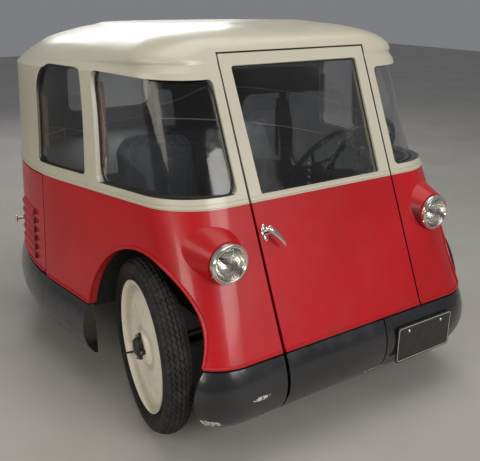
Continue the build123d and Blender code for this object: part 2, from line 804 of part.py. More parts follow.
# knuckles: a fork on the kingpin, a spindle and a steering arm
web_x = 28
web = 14
fork_half = 22
arm_half = 11
arm_length = 120
arm_pin = 8
for side, word in sides:
    with BuildPart() as straight:
        for z in ((eye_half + seat_gap, eye_half + fork_reach),
                  (-eye_half - fork_reach, -eye_half - seat_gap)):
            span(outward(side, -13, web_x + web), (-fork_half, fork_half), z)
            with Locations((0, 0, sum(z) / 2)):
                Cylinder(kingpin_radius + seat_gap, 2 * fork_reach, mode=Mode.SUBTRACT)
        span(outward(side, web_x, web_x + web), (-fork_half, fork_half),
             (-eye_half - fork_reach, eye_half + fork_reach))
        with BuildSketch(Plane.YZ.offset(side * (web_x + web))):
            Circle(spindle_radius)
        extrude(amount=side * (wheel_offset + hub_cap - 16 - web_x - web))
        arm_z = (-eye_half - fork_reach, -eye_half - 6)
        span((-arm_half, arm_half), (fork_half - 2, arm_length + 12), arm_z)
        with Locations((0, arm_length, arm_z[0] - arm_pin / 2)):
            Cylinder(6, arm_pin)
    with BuildPart() as knuckle:
        with Locations(knuckle_places[word]):
            add(straight.part)
    finish(knuckle, f"knuckle_{word}")

# tie rod under the arms' pins
rod_eye_height = 12
rod_top = axle_z - eye_half - fork_reach - arm_pin - seat_gap
rod_z = rod_top - rod_eye_height / 2
shift = arm_length * sin(radians(-parked_steer))
rod_y = front_axle_y + arm_length * cos(radians(parked_steer))
with BuildPart() as tie_rod:
    with Locations((shift - kingpin_x, rod_y, rod_z), (shift + kingpin_x, rod_y, rod_z)):
        Cylinder(13, rod_eye_height)
    with BuildSketch(Plane.YZ.offset(shift - kingpin_x)):
        with Locations((rod_y, rod_z)):
            Circle(6)
    extrude(amount=2 * kingpin_x)
finish(tie_rod, "tie_rod")

# steering column and wheel
column_axis = (column_top - column_foot).normalized()
column_length = (column_top - column_foot).length
column_plane = Plane(origin=column_foot, x_dir=(1, 0, 0), z_dir=column_axis)
boss_drop = 30
wall_depth = wall * cos(radians(front_slope)) + 2.5 * seat_gap
bracket_width, bracket_height, bracket_thickness = 56, 76, 12
low, high = column_foot.X - bracket_width, column_foot.X + bracket_width
with BuildPart() as column:
    with BuildSketch(column_plane.offset(-boss_drop)):
        Circle(column_radius)
    extrude(amount=column_length)
    with BuildSketch(door_plane.offset(-wall_depth)):
        with Locations((column_foot.X, up_slope(column_foot.Z))):
            Rectangle(bracket_width, bracket_height)
    extrude(amount=-bracket_thickness)
    add(front_slab([(low, 0), (high, 0), (high, head_z), (low, head_z)], wall_depth, wall),
        mode=Mode.SUBTRACT)
finish(column, "steering_column")

with BuildPart() as steering_wheel:
    with BuildSketch(column_plane.offset(column_length - boss_drop + seat_gap)):
        Circle(30)
    extrude(amount=boss_drop + 4)
    with Locations(column_plane.offset(column_length)):
        Torus(steering_radius, grip_radius)
    with BuildSketch(column_plane.offset(column_length - 5)):
        with PolarLocations(0, 3, start_angle=90):
            with Locations((steering_radius / 2 + 8, 0)):
                Rectangle(steering_radius - 26, 16)
    extrude(amount=8)
finish(steering_wheel, "steering_wheel")

# rear fork, with the axle pin between its arms
fork_x = rear_half_hub + 10
fork_plate = 12
fork_half_height = 25
fork_front_y = cross_members[-1] + cross_half
with BuildPart() as rear_fork:
    for side, word in sides:
        span(outward(side, fork_x, fork_x + fork_plate), (fork_front_y, rear_axle_y + 30),
             (axle_z - fork_half_height, axle_z + fork_half_height))
    span((-fork_x - fork_plate, fork_x + fork_plate), (fork_front_y, fork_front_y + 24),
         (axle_z - fork_half_height, axle_z + fork_half_height))
    with BuildSketch(Plane.YZ):
        with Locations((rear_axle_y, axle_z)):
            Circle(spindle_radius)
    extrude(amount=fork_x + fork_plate, both=True)
finish(rear_fork, "rear_fork")

# latch handles of the engine covers and the tail lamps stand on the red skin
cover_handle_y, cover_handle_z = widest_y + 295, 530
cover_handle_x = foot.half_width - 2
cover_handle_bar = 30
handle_root_x = foot.half_width - 150
lamp_root_y, lamp_face_y = rear_axle_y + 190, rear_axle_y + 405
tail_lamp_x, tail_lamp_z, tail_lamp_radius = 215, 620, 34
for side, word in sides:
    with BuildPart() as cover_handle:
        with BuildSketch(Plane.YZ.offset(side * handle_root_x)):
            with Locations((cover_handle_y, cover_handle_z)):
                Circle(5)
        extrude(amount=side * (cover_handle_x - handle_root_x))
        with Locations((side * cover_handle_x, cover_handle_y, cover_handle_z)):
            Cylinder(6, cover_handle_bar)
        add(red_outer, mode=Mode.SUBTRACT)
    finish(cover_handle, f"cover_handle_{word}")
with BuildPart() as tail_lamps:
    with BuildSketch(Plane.XZ.offset(-lamp_root_y)):
        with Locations((-tail_lamp_x, tail_lamp_z), (tail_lamp_x, tail_lamp_z)):
            Circle(tail_lamp_radius)
    extrude(amount=lamp_root_y - lamp_face_y)
    add(red_outer, mode=Mode.SUBTRACT)
finish(tail_lamps, "tail_lamps")


# hinge pins, between the fixed body and the ends of the moving panels
def cover_pivot(level, side):
    """A point of an engine cover's axis, under the skin beside its rear edge."""
    x = tail_half + cover_hinge_gap + pivot_in
    reach = sqrt((level.tail_radius - pivot_depth) ** 2 - x**2)
    y = level.tail_end - level.tail_radius + reach
    return Vector(side * x, y, level.height - (y - level.front) * tan(radians(level.fall)))


def leaning_pin(point, axis, start, end):
    """A pin along an axis, between two distances from a point on it."""
    with BuildPart() as pin:
        with BuildSketch(Plane(origin=point, x_dir=(1, 0, 0), z_dir=axis).offset(start)):
            Circle(pin_radius)
        extrude(amount=end - start)
    return pin.part


door_axis = door_plane.y_dir
door_pivot = door_plane.from_local_coords(Vector(door_half - pivot_in, 0, -pivot_depth))
pin_tilt = pin_radius * sin(radians(front_slope))
foot_pin = ((bumper_top_z - door_pivot.Z + pin_tilt + seat_gap) / door_axis.Z,
            (foot_z - door_pivot.Z) / door_axis.Z - pin_tilt - 2 * seat_gap)
pin_end_gap = 1          # leaves room for the turning of a panel's end that is not square to its pin
cover_foot_pin = (2 * seat_gap - moving_gap, moving_gap - pin_end_gap)
cover_head_pin = (pin_end_gap - moving_gap, -pin_end_gap)
with BuildPart() as hinge_pins:
    add(leaning_pin(door_pivot, door_axis, *foot_pin))
    add(leaning_pin(door_pivot, door_axis, up_slope(door_top_z) + seat_gap,
                    up_slope(door_top_z + moving_gap)))
    for side, word in sides:
        low_pivot, high_pivot = cover_pivot(foot, side), cover_pivot(belt, side)
        cover_axis = (high_pivot - low_pivot).normalized()
        add(leaning_pin(low_pivot, cover_axis, *cover_foot_pin))
        add(leaning_pin(high_pivot, cover_axis, *cover_head_pin))
finish(hinge_pins, "hinge_pins")
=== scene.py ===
import json
from math import acos, asin, atan2, copysign, cos, hypot, pi, radians, sin, tan

import bmesh
import bpy
import numpy as np
from mathutils import Matrix, Vector


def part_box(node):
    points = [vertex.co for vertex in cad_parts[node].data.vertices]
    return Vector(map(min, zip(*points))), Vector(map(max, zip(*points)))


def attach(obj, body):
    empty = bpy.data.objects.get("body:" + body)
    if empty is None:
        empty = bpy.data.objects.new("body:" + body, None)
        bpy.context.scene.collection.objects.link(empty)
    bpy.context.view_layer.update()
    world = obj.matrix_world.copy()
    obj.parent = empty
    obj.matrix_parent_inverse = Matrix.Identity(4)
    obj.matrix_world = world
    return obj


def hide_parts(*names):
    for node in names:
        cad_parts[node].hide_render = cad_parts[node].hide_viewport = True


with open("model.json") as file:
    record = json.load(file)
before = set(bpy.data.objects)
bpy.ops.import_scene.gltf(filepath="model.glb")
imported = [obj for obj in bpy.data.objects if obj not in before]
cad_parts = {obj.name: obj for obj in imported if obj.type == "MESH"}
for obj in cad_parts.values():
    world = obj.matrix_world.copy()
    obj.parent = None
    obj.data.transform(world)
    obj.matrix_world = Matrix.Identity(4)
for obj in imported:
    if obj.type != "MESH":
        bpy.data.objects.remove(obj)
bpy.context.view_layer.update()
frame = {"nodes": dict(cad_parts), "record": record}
nodes = frame["nodes"]
scene = bpy.context.scene

slope, fall = radians(23.8), tan(radians(2.0))  # the lean of the front, the drop of the belt towards the tail
footZ, beltZ, headZ = 0.385, 0.862, 1.285
noseY, widestY, tailY = -1.148, 0.030, 1.1543
axleY, axleZ = -0.760, 0.325


class Wire:
    def __init__(self, graph, socket):
        self.graph, self.socket = graph, socket

    def run(self, operation, *values):
        return self.graph.put("ShaderNodeMath", {"operation": operation}, dict(enumerate(values)))["Value"]

    def __add__(self, other):
        return self.run("ADD", self, other)

    def __sub__(self, other):
        return self.run("SUBTRACT", self, other)

    def __mul__(self, other):
        return self.run("MULTIPLY", self, other)

    def __rsub__(self, other):
        return self.run("SUBTRACT", other, self)

    __radd__, __rmul__ = __add__, __mul__

    def wave(self):
        return self.run("SINE", self)

    def least(self, other):
        return self.run("MINIMUM", self, other)

    def most(self, other):
        return self.run("MAXIMUM", self, other)

    def fade(self, low, high, start=0.0, end=1.0):  # from start to end as the value goes from low to high
        inputs = {"Value": self, "From Min": low, "From Max": high, "To Min": start, "To Max": end}
        return self.graph.put("ShaderNodeMapRange", {"interpolation_type": "SMOOTHSTEP"}, inputs)["Result"]


class Graph:
    def __init__(self, name):
        self.material = bpy.data.materials.new(name)
        self.material.use_nodes = True
        self.tree = self.material.node_tree
        self.shader = self.tree.nodes["Principled BSDF"]
        self.place = self.put("ShaderNodeTexCoord", {}, {})["Object"]

    def put(self, kind, settings, inputs):
        node = self.tree.nodes.new(kind)
        for key, value in settings.items():
            setattr(node, key, value)
        for key, value in inputs.items():
            self.feed(node.inputs[key], value)
        return {out.name: Wire(self, out) for out in node.outputs if out.enabled}

    def feed(self, socket, value):
        if isinstance(value, Wire):
            self.tree.links.new(value.socket, socket)
        elif isinstance(value, (tuple, list)) and socket.type == "RGBA":
            socket.default_value = (*value, 1.0)[:4]
        else:
            socket.default_value = value

    def vector(self, operation, first, second):
        return self.put("ShaderNodeVectorMath", {"operation": operation}, {0: first, 1: second})["Vector"]

    def length(self, vector):
        return self.put("ShaderNodeVectorMath", {"operation": "LENGTH"}, {0: vector})["Value"]

    def noise(self, scale, detail=3.0, roughness=0.55, stretch=None, warp=0.0):
        place = self.place if stretch is None else self.vector("MULTIPLY", self.place, stretch)
        inputs = {"Vector": place, "Scale": scale, "Detail": detail, "Roughness": roughness, "Distortion": warp}
        return self.put("ShaderNodeTexNoise", {}, inputs)["Fac"]

    def cells(self, scale):
        inputs = {"Vector": self.place, "Scale": scale}
        return self.put("ShaderNodeTexVoronoi", {"feature": "F1"}, inputs)["Distance"]

    def axes(self, vector=None):
        return self.put("ShaderNodeSeparateXYZ", {}, {0: vector or self.place})

    def mix(self, share, first, second):
        node = self.tree.nodes.new("ShaderNodeMix")
        node.data_type = "RGBA"
        for index, value in ((0, share), (6, first), (7, second)):
            self.feed(node.inputs[index], value)
        return Wire(self, node.outputs[2])

    def near(self, centre, reach, soft=0.3):  # 1 inside an ellipsoid about a place, 0 outside it
        scaled = self.vector("DIVIDE", self.vector("SUBTRACT", self.place, centre), reach)
        return self.length(scaled).fade(1.0 + soft, 1.0 - soft)

    def fromAxle(self, centre):  # the distance from a line across the car
        return self.length(self.vector("SUBTRACT", self.vector("MULTIPLY", self.place, (0, 1, 1)), centre))

    def normal(self):
        return self.put("ShaderNodeNewGeometry", {}, {})["Normal"]

    def inward(self, centre):  # 1 where a face looks towards a centre, so on the inside of a shell
        away = self.vector("SUBTRACT", self.place, centre)
        unit = self.put("ShaderNodeVectorMath", {"operation": "NORMALIZE"}, {0: away})["Vector"]
        inputs = {0: self.normal(), 1: unit}
        return self.put("ShaderNodeVectorMath", {"operation": "DOT_PRODUCT"}, inputs)["Value"].fade(0.12, -0.12)

    def bump(self, height, distance, strength=1.0):
        inputs = {"Height": height, "Distance": distance, "Strength": strength}
        return self.put("ShaderNodeBump", {}, inputs)["Normal"]

    def done(self, **inputs):  # names as the shader's sockets, with _ for a space
        for key, value in inputs.items():
            self.feed(self.shader.inputs[key.replace("_", " ")], value)
        return self.material


# paints and other finishes; some paints have painted shade, near black, on the inside of the shell
def creamPaint(name, shadedInside=True):
    g = Graph(name)
    cloud = g.noise(2.2, 4)
    base = g.mix(cloud.fade(0.35, 0.7), (0.60, 0.565, 0.455), (0.545, 0.51, 0.405))
    grime = g.noise(46, 6, 0.65).fade(0.66, 0.8, 0.0, 0.35)
    base = g.mix(grime, base, (0.3, 0.27, 0.2))
    # painted shade: faces inside the shell are made near black
    if shadedInside:
        base = g.mix(g.inward((0.0, -0.05, 1.0)), base, (0.03, 0.024, 0.02))
    dust = g.noise(9, 5).fade(0.45, 0.75)
    peel = g.noise(520, 2)
    dents = g.noise(4.5, 2)
    return g.done(
        Base_Color=base, Roughness=dust * 0.14 + 0.3, Coat_Weight=0.25, Coat_Roughness=0.16,
        Normal=g.bump(peel * 0.03 + dents, 0.0018),
    )


def redPaint(name, shadedInside=True):
    g = Graph(name)
    cloud = g.noise(1.7, 4)
    base = g.mix(cloud.fade(0.3, 0.7), (0.52, 0.005, 0.011), (0.42, 0.003, 0.006))
    specks = g.noise(150, 2).fade(0.73, 0.8, 0.0, 0.5)
    base = g.mix(specks, base, (0.20, 0.01, 0.01))
    height = g.axes()["Z"]
    road = (g.noise(18, 5) * height.fade(0.52, 0.38)).fade(0.42, 0.75, 0.0, 0.3)
    base = g.mix(road, base, (0.12, 0.05, 0.035))
    # painted shade: faces inside the shell, and the upward faces of the ledge under the cream, are made near black
    if shadedInside:
        faces = g.axes(g.normal())["Z"]
        shadedLedge = (height + g.axes()["Y"] * 0.0349).fade(0.8250, 0.8270) * faces.fade(0.75, 0.9)  # under the cream
        base = g.mix(g.inward((0.0, -0.05, 0.6)).most(shadedLedge), base, (0.02, 0.017, 0.016))
    peel = g.noise(480, 2)
    dents = g.noise(4, 2)
    haze = g.noise(7, 5).fade(0.4, 0.75)
    return g.done(
        Base_Color=base, Roughness=haze * 0.12 + 0.32, Specular_IOR_Level=0.36,
        Coat_Weight=0.25, Coat_Roughness=0.1, Normal=g.bump(peel * 0.025 + dents, 0.0018),
    )


def bumperPaint(name):
    g = Graph(name)
    base = g.mix(g.noise(5, 4).fade(0.35, 0.7), (0.009, 0.0095, 0.012), (0.016, 0.016, 0.019))
    flakes = g.noise(75, 6, 0.7)
    patches = g.near((-0.442, -1.172, 0.263), (0.043, 0.05, 0.009)).most(
        g.near((-0.63, -1.09, 0.185), (0.085, 0.07, 0.022)) * 0.96).most(
        g.near((0.10, -1.15, 0.178), (0.05, 0.05, 0.008)) * 0.8)
    chipped = (patches * 0.3 + flakes).fade(0.74, 0.76)
    scuffs = g.noise(26, 6, 0.75, stretch=(1, 1, 6)).fade(0.74, 0.77, 0.0, 0.5)
    scuffs = scuffs * g.axes()["Z"].fade(0.24, 0.17)
    base = g.mix(scuffs, base, (0.33, 0.31, 0.28))
    base = g.mix(chipped, base, (0.62, 0.6, 0.54))
    waves = g.noise(6, 2)
    return g.done(
        Base_Color=base, Roughness=g.noise(11, 5).fade(0.35, 0.75, 0.2, 0.42) + chipped * 0.3,
        Coat_Weight=0.6, Coat_Roughness=0.14, Normal=g.bump(waves + flakes * 0.04 - chipped * 0.15, 0.002),
    )


def wheelPaint(name):
    g = Graph(name)
    base = g.mix(g.noise(8, 4).fade(0.3, 0.7), (0.86, 0.80, 0.65), (0.78, 0.72, 0.58))
    rub = g.noise(60, 6, 0.7).fade(0.62, 0.78, 0.0, 0.5)
    base = g.mix(rub, base, (0.35, 0.3, 0.23))
    far = g.fromAxle((0, -0.748, 0.325)).least(g.fromAxle((0, -0.772, 0.325))).least(g.fromAxle((0, 0.710, 0.325)))
    channelShade = far.fade(0.188, 0.214) * far.fade(0.234, 0.222)  # painted shade in the creases of the disc
    boss = far.fade(0.052, 0.060) * far.fade(0.090, 0.066)
    # painted shade: the channel and the ring round the boss are darkened, mottled by noise
    base = g.mix((channelShade.most(boss) * (g.noise(14, 4) * 0.6 + 0.2)), base, (0.30, 0.26, 0.19))
    return g.done(
        Base_Color=base, Roughness=g.noise(24, 4).fade(0.3, 0.7, 0.26, 0.4), Coat_Weight=0.3, Coat_Roughness=0.15,
        Normal=g.bump(g.noise(300, 2) * 0.05 + g.noise(20, 2), 0.0007),
    )


def clearGlass(name, tint=(0.86, 0.92, 0.9), alpha=0.32):
    g = Graph(name)
    smears = g.noise(7, 5, 0.6, stretch=(1, 1, 0.35)).fade(0.45, 0.8, 0.0, 0.05)
    ripple = g.noise(9, 1, stretch=(1, 1, 0.3))
    g.material.surface_render_method = "BLENDED"
    return g.done(
        Base_Color=tint, Roughness=smears + 0.015, Transmission_Weight=1.0, IOR=1.46, Alpha=alpha,
        Coat_Weight=1.0, Coat_Roughness=0.02, Normal=g.bump(ripple, 0.0012),
    )


def chrome(name):
    g = Graph(name)
    pits = g.noise(260, 3).fade(0.66, 0.78)
    return g.done(
        Base_Color=g.mix(pits, (0.78, 0.76, 0.72), (0.35, 0.31, 0.27)), Metallic=1.0,
        Roughness=pits * 0.3 + g.noise(30, 3).fade(0.3, 0.7, 0.06, 0.15),
        Normal=g.bump(g.noise(60, 2) - pits * 0.2, 0.0004),
    )


def darkMetal(name, tint=(0.02, 0.02, 0.021), rust=0.35):
    g = Graph(name)
    spots = g.noise(34, 6, 0.7).fade(0.55, 0.72, 0.0, rust)
    return g.done(
        Base_Color=g.mix(spots, tint, (0.14, 0.07, 0.04)), Metallic=0.25,
        Roughness=g.noise(50, 5).fade(0.3, 0.7, 0.42, 0.7), Normal=g.bump(g.noise(160, 4), 0.0006),
    )


def rubber(name):
    g = Graph(name)
    dust = g.noise(24, 6, 0.65).fade(0.4, 0.75)
    return g.done(
        Base_Color=g.mix(dust, (0.011, 0.011, 0.011), (0.036, 0.034, 0.031)), Roughness=dust * 0.18 + 0.62,
        Specular_IOR_Level=0.35, Normal=g.bump(g.noise(420, 3), 0.0004),
    )


def vinyl(name):
    g = Graph(name)
    grain = g.cells(620)
    base = g.mix(g.noise(6, 4).fade(0.3, 0.7), (0.040, 0.046, 0.062), (0.028, 0.033, 0.046))
    worn = g.noise(14, 5).fade(0.6, 0.78, 0.0, 0.45)
    return g.done(
        Base_Color=g.mix(worn, base, (0.085, 0.09, 0.105)), Roughness=worn * -0.1 + 0.46, Coat_Weight=0.12,
        Coat_Roughness=0.35, Normal=g.bump(grain + g.noise(40, 3) * 0.6, 0.0009),
    )


def wood(name, light=(0.17, 0.085, 0.04), dark=(0.075, 0.035, 0.018)):
    g = Graph(name)
    grain = g.noise(30, 5, 0.65, stretch=(6, 6, 0.6), warp=0.6)
    return g.done(
        Base_Color=g.mix(grain.fade(0.3, 0.7), light, dark), Roughness=grain.fade(0.3, 0.7, 0.42, 0.6),
        Coat_Weight=0.2, Coat_Roughness=0.3, Normal=g.bump(grain, 0.0006),
    )


def ribbedMat(name):
    g = Graph(name)
    ribs = (g.axes()["X"] * 700.0).wave()
    return g.done(
        Base_Color=g.mix(g.noise(12, 6).fade(0.35, 0.75), (0.018, 0.017, 0.016), (0.05, 0.045, 0.038)),
        Roughness=g.noise(30, 4).fade(0.3, 0.7, 0.6, 0.85), Normal=g.bump(ribs, 0.001),
    )


def lampRed(name):
    g = Graph(name)
    rings = g.cells(240)
    return g.done(
        Base_Color=g.mix(rings.fade(0.1, 0.7), (0.5, 0.012, 0.012), (0.32, 0.006, 0.006)), Roughness=0.12,
        Coat_Weight=1.0, Coat_Roughness=0.04, Normal=g.bump(rings, 0.0007),
    )


def reflector(name):
    g = Graph(name)
    film = g.noise(40, 4).fade(0.35, 0.8)
    return g.done(
        Base_Color=g.mix(film, (0.86, 0.85, 0.8), (0.5, 0.47, 0.4)), Metallic=1.0, Roughness=film * 0.2 + 0.1,
        Normal=g.bump(g.noise(60, 2), 0.0004),
    )


def plain(name, tint, rough, metal=0.0, grain=200, depth=0.0004, coat=0.0):
    g = Graph(name)
    spread = g.noise(grain, 4)
    return g.done(
        Base_Color=g.mix(spread.fade(0.3, 0.75), tint, tuple(v * 0.62 for v in tint)), Metallic=metal,
        Roughness=spread.fade(0.3, 0.7, rough, min(1.0, rough + 0.14)), Coat_Weight=coat,
        Normal=g.bump(spread, depth),
    )


looks = {
    "cream_paint": creamPaint("creamPaint"),
    "cream_frame": creamPaint("creamFrame", shadedInside=False),
    "red_paint": redPaint("redPaint"),
    "black_paint": bumperPaint("bumperPaint"),
    "wheel_paint": wheelPaint("wheelPaint"),
    "clear_glass": clearGlass("clearGlass"),
    "lamp_glass": clearGlass("lampGlass", (0.96, 0.97, 0.93), 0.5),
    "lamp_red": lampRed("lampRed"),
    "bright_metal": chrome("brightMetal"),
    "dark_metal": darkMetal("darkMetal"),
    "hub_metal": darkMetal("hubMetal", (0.035, 0.034, 0.033), 0.5),
    "engine_metal": plain("engineMetal", (0.16, 0.16, 0.165), 0.55, 0.6, 90),
    "tyre_rubber": rubber("tyreRubber"),
    "black_rim": plain("blackRim", (0.018, 0.018, 0.018), 0.22, 0.0, 60, 0.0002, 0.5),
    "seat_vinyl": vinyl("seatVinyl"),
    "floor_board": wood("floorBoard", (0.06, 0.04, 0.028), (0.028, 0.019, 0.014)),
}
trims = {
    "redBead": redPaint("redBead", shadedInside=False),
    "creamBead": creamPaint("creamBead", shadedInside=False),
    "gasket": plain("gasket", (0.014, 0.013, 0.012), 0.6),
    "strip": wood("stripWood"),
    "reflector": reflector("reflector"),
    "floorMat": ribbedMat("floorMat"),
    "plateBlack": plain("plateBlack", (0.012, 0.012, 0.013), 0.34, 0.0, 24, 0.0005, 0.3),
    "plateEdge": plain("plateEdge", (0.62, 0.58, 0.46), 0.4),
    "bulb": plain("bulb", (0.10, 0.07, 0.05), 0.3, 0.0, 120),
    "housing": plain("housingPaint", (0.014, 0.014, 0.014), 0.72, 0.0, 30, 0.001),
}
slotOf = {row["node"]: row["material_slot"] for row in frame["record"]["subparts"]}
for name, node in nodes.items():
    node.data.materials.clear()
    node.data.materials.append(looks[slotOf[name]])
    node.data.shade_smooth()
    node.data.set_sharp_from_angle(angle=radians(28))
nodes["wheel_housings"].data.materials[0] = trims["housing"]
nodes["number_plate"].data.materials[0] = trims["plateBlack"]
print("materials", len(bpy.data.materials))


def skin(bm, rings, closed=False, caps=False):  # faces between rings of points
    rows = [[bm.verts.new(point) for point in ring] for ring in rings]
    pairs = list(zip(rows, rows[1:])) + ([(rows[-1], rows[0])] if closed else [])
    for first, second in pairs:
        for i in range(len(first)):
            j = (i + 1) % len(first)
            bm.faces.new((first[i], first[j], second[j], second[i]))
    if caps:
        bm.faces.new(rows[0])
        bm.faces.new(rows[-1])


def settle(bm, name, body, slot, trim=None, sharp=35):
    bmesh.ops.remove_doubles(bm, verts=bm.verts, dist=2e-5)
    bmesh.ops.recalc_face_normals(bm, faces=bm.faces)
    mesh = bpy.data.meshes.new(name)
    bm.to_mesh(mesh)
    bm.free()
    mesh.materials.append(trim or looks[slot])
    mesh.shade_smooth()
    mesh.set_sharp_from_angle(angle=radians(sharp))
    piece = bpy.data.objects.new(name, mesh)
    scene.collection.objects.link(piece)
    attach(piece, body)
    return piece


def frameAlong(axis):  # an axis and two directions square to it
    axis = Vector(axis).normalized()
    helper = Vector((0, 0, 1)) if abs(axis.z) < 0.9 else Vector((1, 0, 0))
    first = axis.cross(helper).normalized()
    return axis, first, axis.cross(first)


def lathe(bm, profile, origin, axis, steps=48):  # profile: (along the axis, radius), a closed outline
    axis, first, second = frameAlong(axis)
    origin = Vector(origin)
    row = [bm.verts.new(origin + axis * along + first * radius) for along, radius in profile]
    following = [*range(1, len(row)), 0]
    pairs = [(a, b) for a, b in enumerate(following) if profile[a][1] + profile[b][1] > 1e-6]
    edges = [bm.edges.new((row[a], row[b])) for a, b in pairs]
    bmesh.ops.spin(bm, geom=row + edges, cent=origin, axis=axis, angle=2 * pi, steps=steps, use_merge=True)


def tube(bm, points, radius, sides=10, loop=False, radii=None, flat=1.0, up=None):
    points = [Vector(p) for p in points]
    count = len(points)
    previous = None
    rings = []
    for i, point in enumerate(points):
        ahead = points[(i + 1) % count] if loop or i < count - 1 else point
        behind = points[i - 1] if loop or i > 0 else point
        along = (ahead - behind).normalized()
        if previous is None:
            helper = Vector(up) if up else (Vector((0, 0, 1)) if abs(along.z) < 0.9 else Vector((1, 0, 0)))
            side = along.cross(helper).normalized()
        else:
            side = (previous - along * previous.dot(along)).normalized()
        previous = side
        other = along.cross(side)
        width = radii[i] if radii else radius
        turns = [2 * pi * k / sides for k in range(sides)]
        rings.append([point + side * (width * cos(a)) + other * (width * flat * sin(a)) for a in turns])
    skin(bm, rings, closed=loop, caps=not loop)


def smoothLine(points, steps=8, loop=False):  # a curve through the points
    points = [Vector(p) for p in points]
    count = len(points)
    line = []
    for i in range(count if loop else count - 1):
        p0 = points[i - 1] if loop or i > 0 else points[0]
        p1, p2 = points[i], points[(i + 1) % count]
        p3 = points[(i + 2) % count] if loop or i < count - 2 else points[-1]
        for k in range(steps):
            t = k / steps
            line.append(0.5 * (2 * p1 + (p2 - p0) * t + (2 * p0 - 5 * p1 + 4 * p2 - p3) * t * t
                               + (3 * p1 - p0 - 3 * p2 + p3) * t**3))
    if not loop:
        line.append(points[-1])
    return line


def roundedBox(centre, half, radius, count):  # the outline of a box with round corners
    points = []
    for across, upward, start in ((1, -1, -90), (1, 1, 0), (-1, 1, 90), (-1, -1, 180)):
        for i in range(count):
            turn = radians(start + 90 * i / (count - 1))
            points.append((centre[0] + across * half[0] + radius * cos(turn),
                           centre[1] + upward * half[1] + radius * sin(turn)))
    return points


def mirrored(points):
    return [Vector((-p[0], p[1], p[2])) for p in points]


# the body's skin, from the same levels as the solids
def frontY(z):
    return noseY + (z - footZ) * tan(slope)


def level(z, cornerX, corner, width, tailIn, tail, drop=fall):
    end = tailY - tailIn
    return dict(z=z, front=frontY(z), cornerX=cornerX, corner=corner, width=width, end=end, tail=tail, drop=drop)


levels = {
    "foot": level(footZ, 0.493, 0.180, 0.797, 0.0, 0.487, 0.0),
    "belt": level(beltZ, 0.425, 0.220, 0.772, 0.030, 0.475),
    "head": level(headZ, 0.409, 0.198, 0.748, 0.060, 0.458),
    "beltInside": level(beltZ, 0.374, 0.262, 0.772, 0.030, 0.475),
    "glassTop": level(headZ + 0.040, 0.388, 0.211, 0.748, 0.060, 0.458),
}
fine = 40  # points to a stretch of the plan
cornerStart, tailStart = fine, 3 * fine  # where the corner and the tail begin in the points of a plan
tailLast = tailStart + 30


def planPoints(name, inset=0.0):  # the left half of the body's plan at a level, from the nose to the tail
    at = levels[name]
    reach = at["end"] - widestY - at["tail"]
    side = (reach**2 / (at["width"] - at["tail"]) + at["width"] + at["tail"]) / 2
    sideX = at["width"] - side
    cornerY = at["front"] + at["corner"]
    forward, across = widestY - cornerY, at["cornerX"] - sideX
    lean = atan2(forward, across) - acos((side - at["corner"]) / hypot(forward, across))
    meeting = atan2(reach, -sideX)
    arcs = (
        (at["cornerX"], cornerY, at["corner"] - inset, -pi / 2, -lean, fine),
        (sideX, widestY, side - inset, -lean, meeting, 2 * fine),
        (0.0, at["end"] - at["tail"], at["tail"] - inset, meeting, pi / 2, fine),
    )
    points = [(at["cornerX"] * i / fine, at["front"] + inset) for i in range(fine)]
    for n, (x, y, radius, start, end, count) in enumerate(arcs):
        arc = [(x + radius * cos(a), y + radius * sin(a)) for a in np.linspace(start, end, count)]
        if n == 1:
            a, b = points[-1], arc[0]
            points += [(a[0] + (b[0] - a[0]) * i / fine, a[1] + (b[1] - a[1]) * i / fine) for i in range(1, fine)]
        points += arc
    return np.array([(x, y, at["z"] - (y - at["front"]) * at["drop"]) for x, y in points])


def planAt(height, low="foot", high="belt", inset=0.0):  # the plan at a height above the lower level
    a, b = planPoints(low, inset), planPoints(high, inset)
    return a + (b - a) * (height / (levels[high]["z"] - levels[low]["z"]))


def wallPoint(y, z, side=1, low="foot", high="belt", inset=0.0):  # the place of the side wall's skin
    a, b = planPoints(low, inset), planPoints(high, inset)
    share = 0.5
    for _ in range(6):
        line = a + (b - a) * share
        x = np.interp(y, line[cornerStart:, 1], line[cornerStart:, 0])
        za, zb = (np.interp(y, edge[cornerStart:, 1], edge[cornerStart:, 2]) for edge in (a, b))
        share = (z - za) / (zb - za)
    return Vector((side * x, y, z))


def tailPoint(x, z, low="belt", high="head", inset=0.0):  # the place of the tail's skin
    a, b = planPoints(low, inset)[tailStart:][::-1], planPoints(high, inset)[tailStart:][::-1]
    share = 0.5
    for _ in range(6):
        line = a + (b - a) * share
        y = np.interp(abs(x), line[:, 0], line[:, 1])
        za, zb = (np.interp(abs(x), edge[:, 0], edge[:, 2]) for edge in (a, b))
        share = (z - za) / (zb - za)
    return Vector((x, y, z))


def slopePoint(x, z, out=0.0):  # on the flat leaning front, out along its normal
    return Vector((x, frontY(z) - out * cos(slope), z + out * sin(slope)))


def bandPoint(index, z, low="foot", high="belt", inset=0.0, side=1):  # a point of the plan raised to a height
    a, b = planPoints(low, inset)[index], planPoints(high, inset)[index]
    share = (z - a[2]) / (b[2] - a[2])
    x, y, height = a + (b - a) * share
    return Vector((side * x, y, height))


def beltHeight(y):
    return beltZ - (y - frontY(beltZ)) * fall


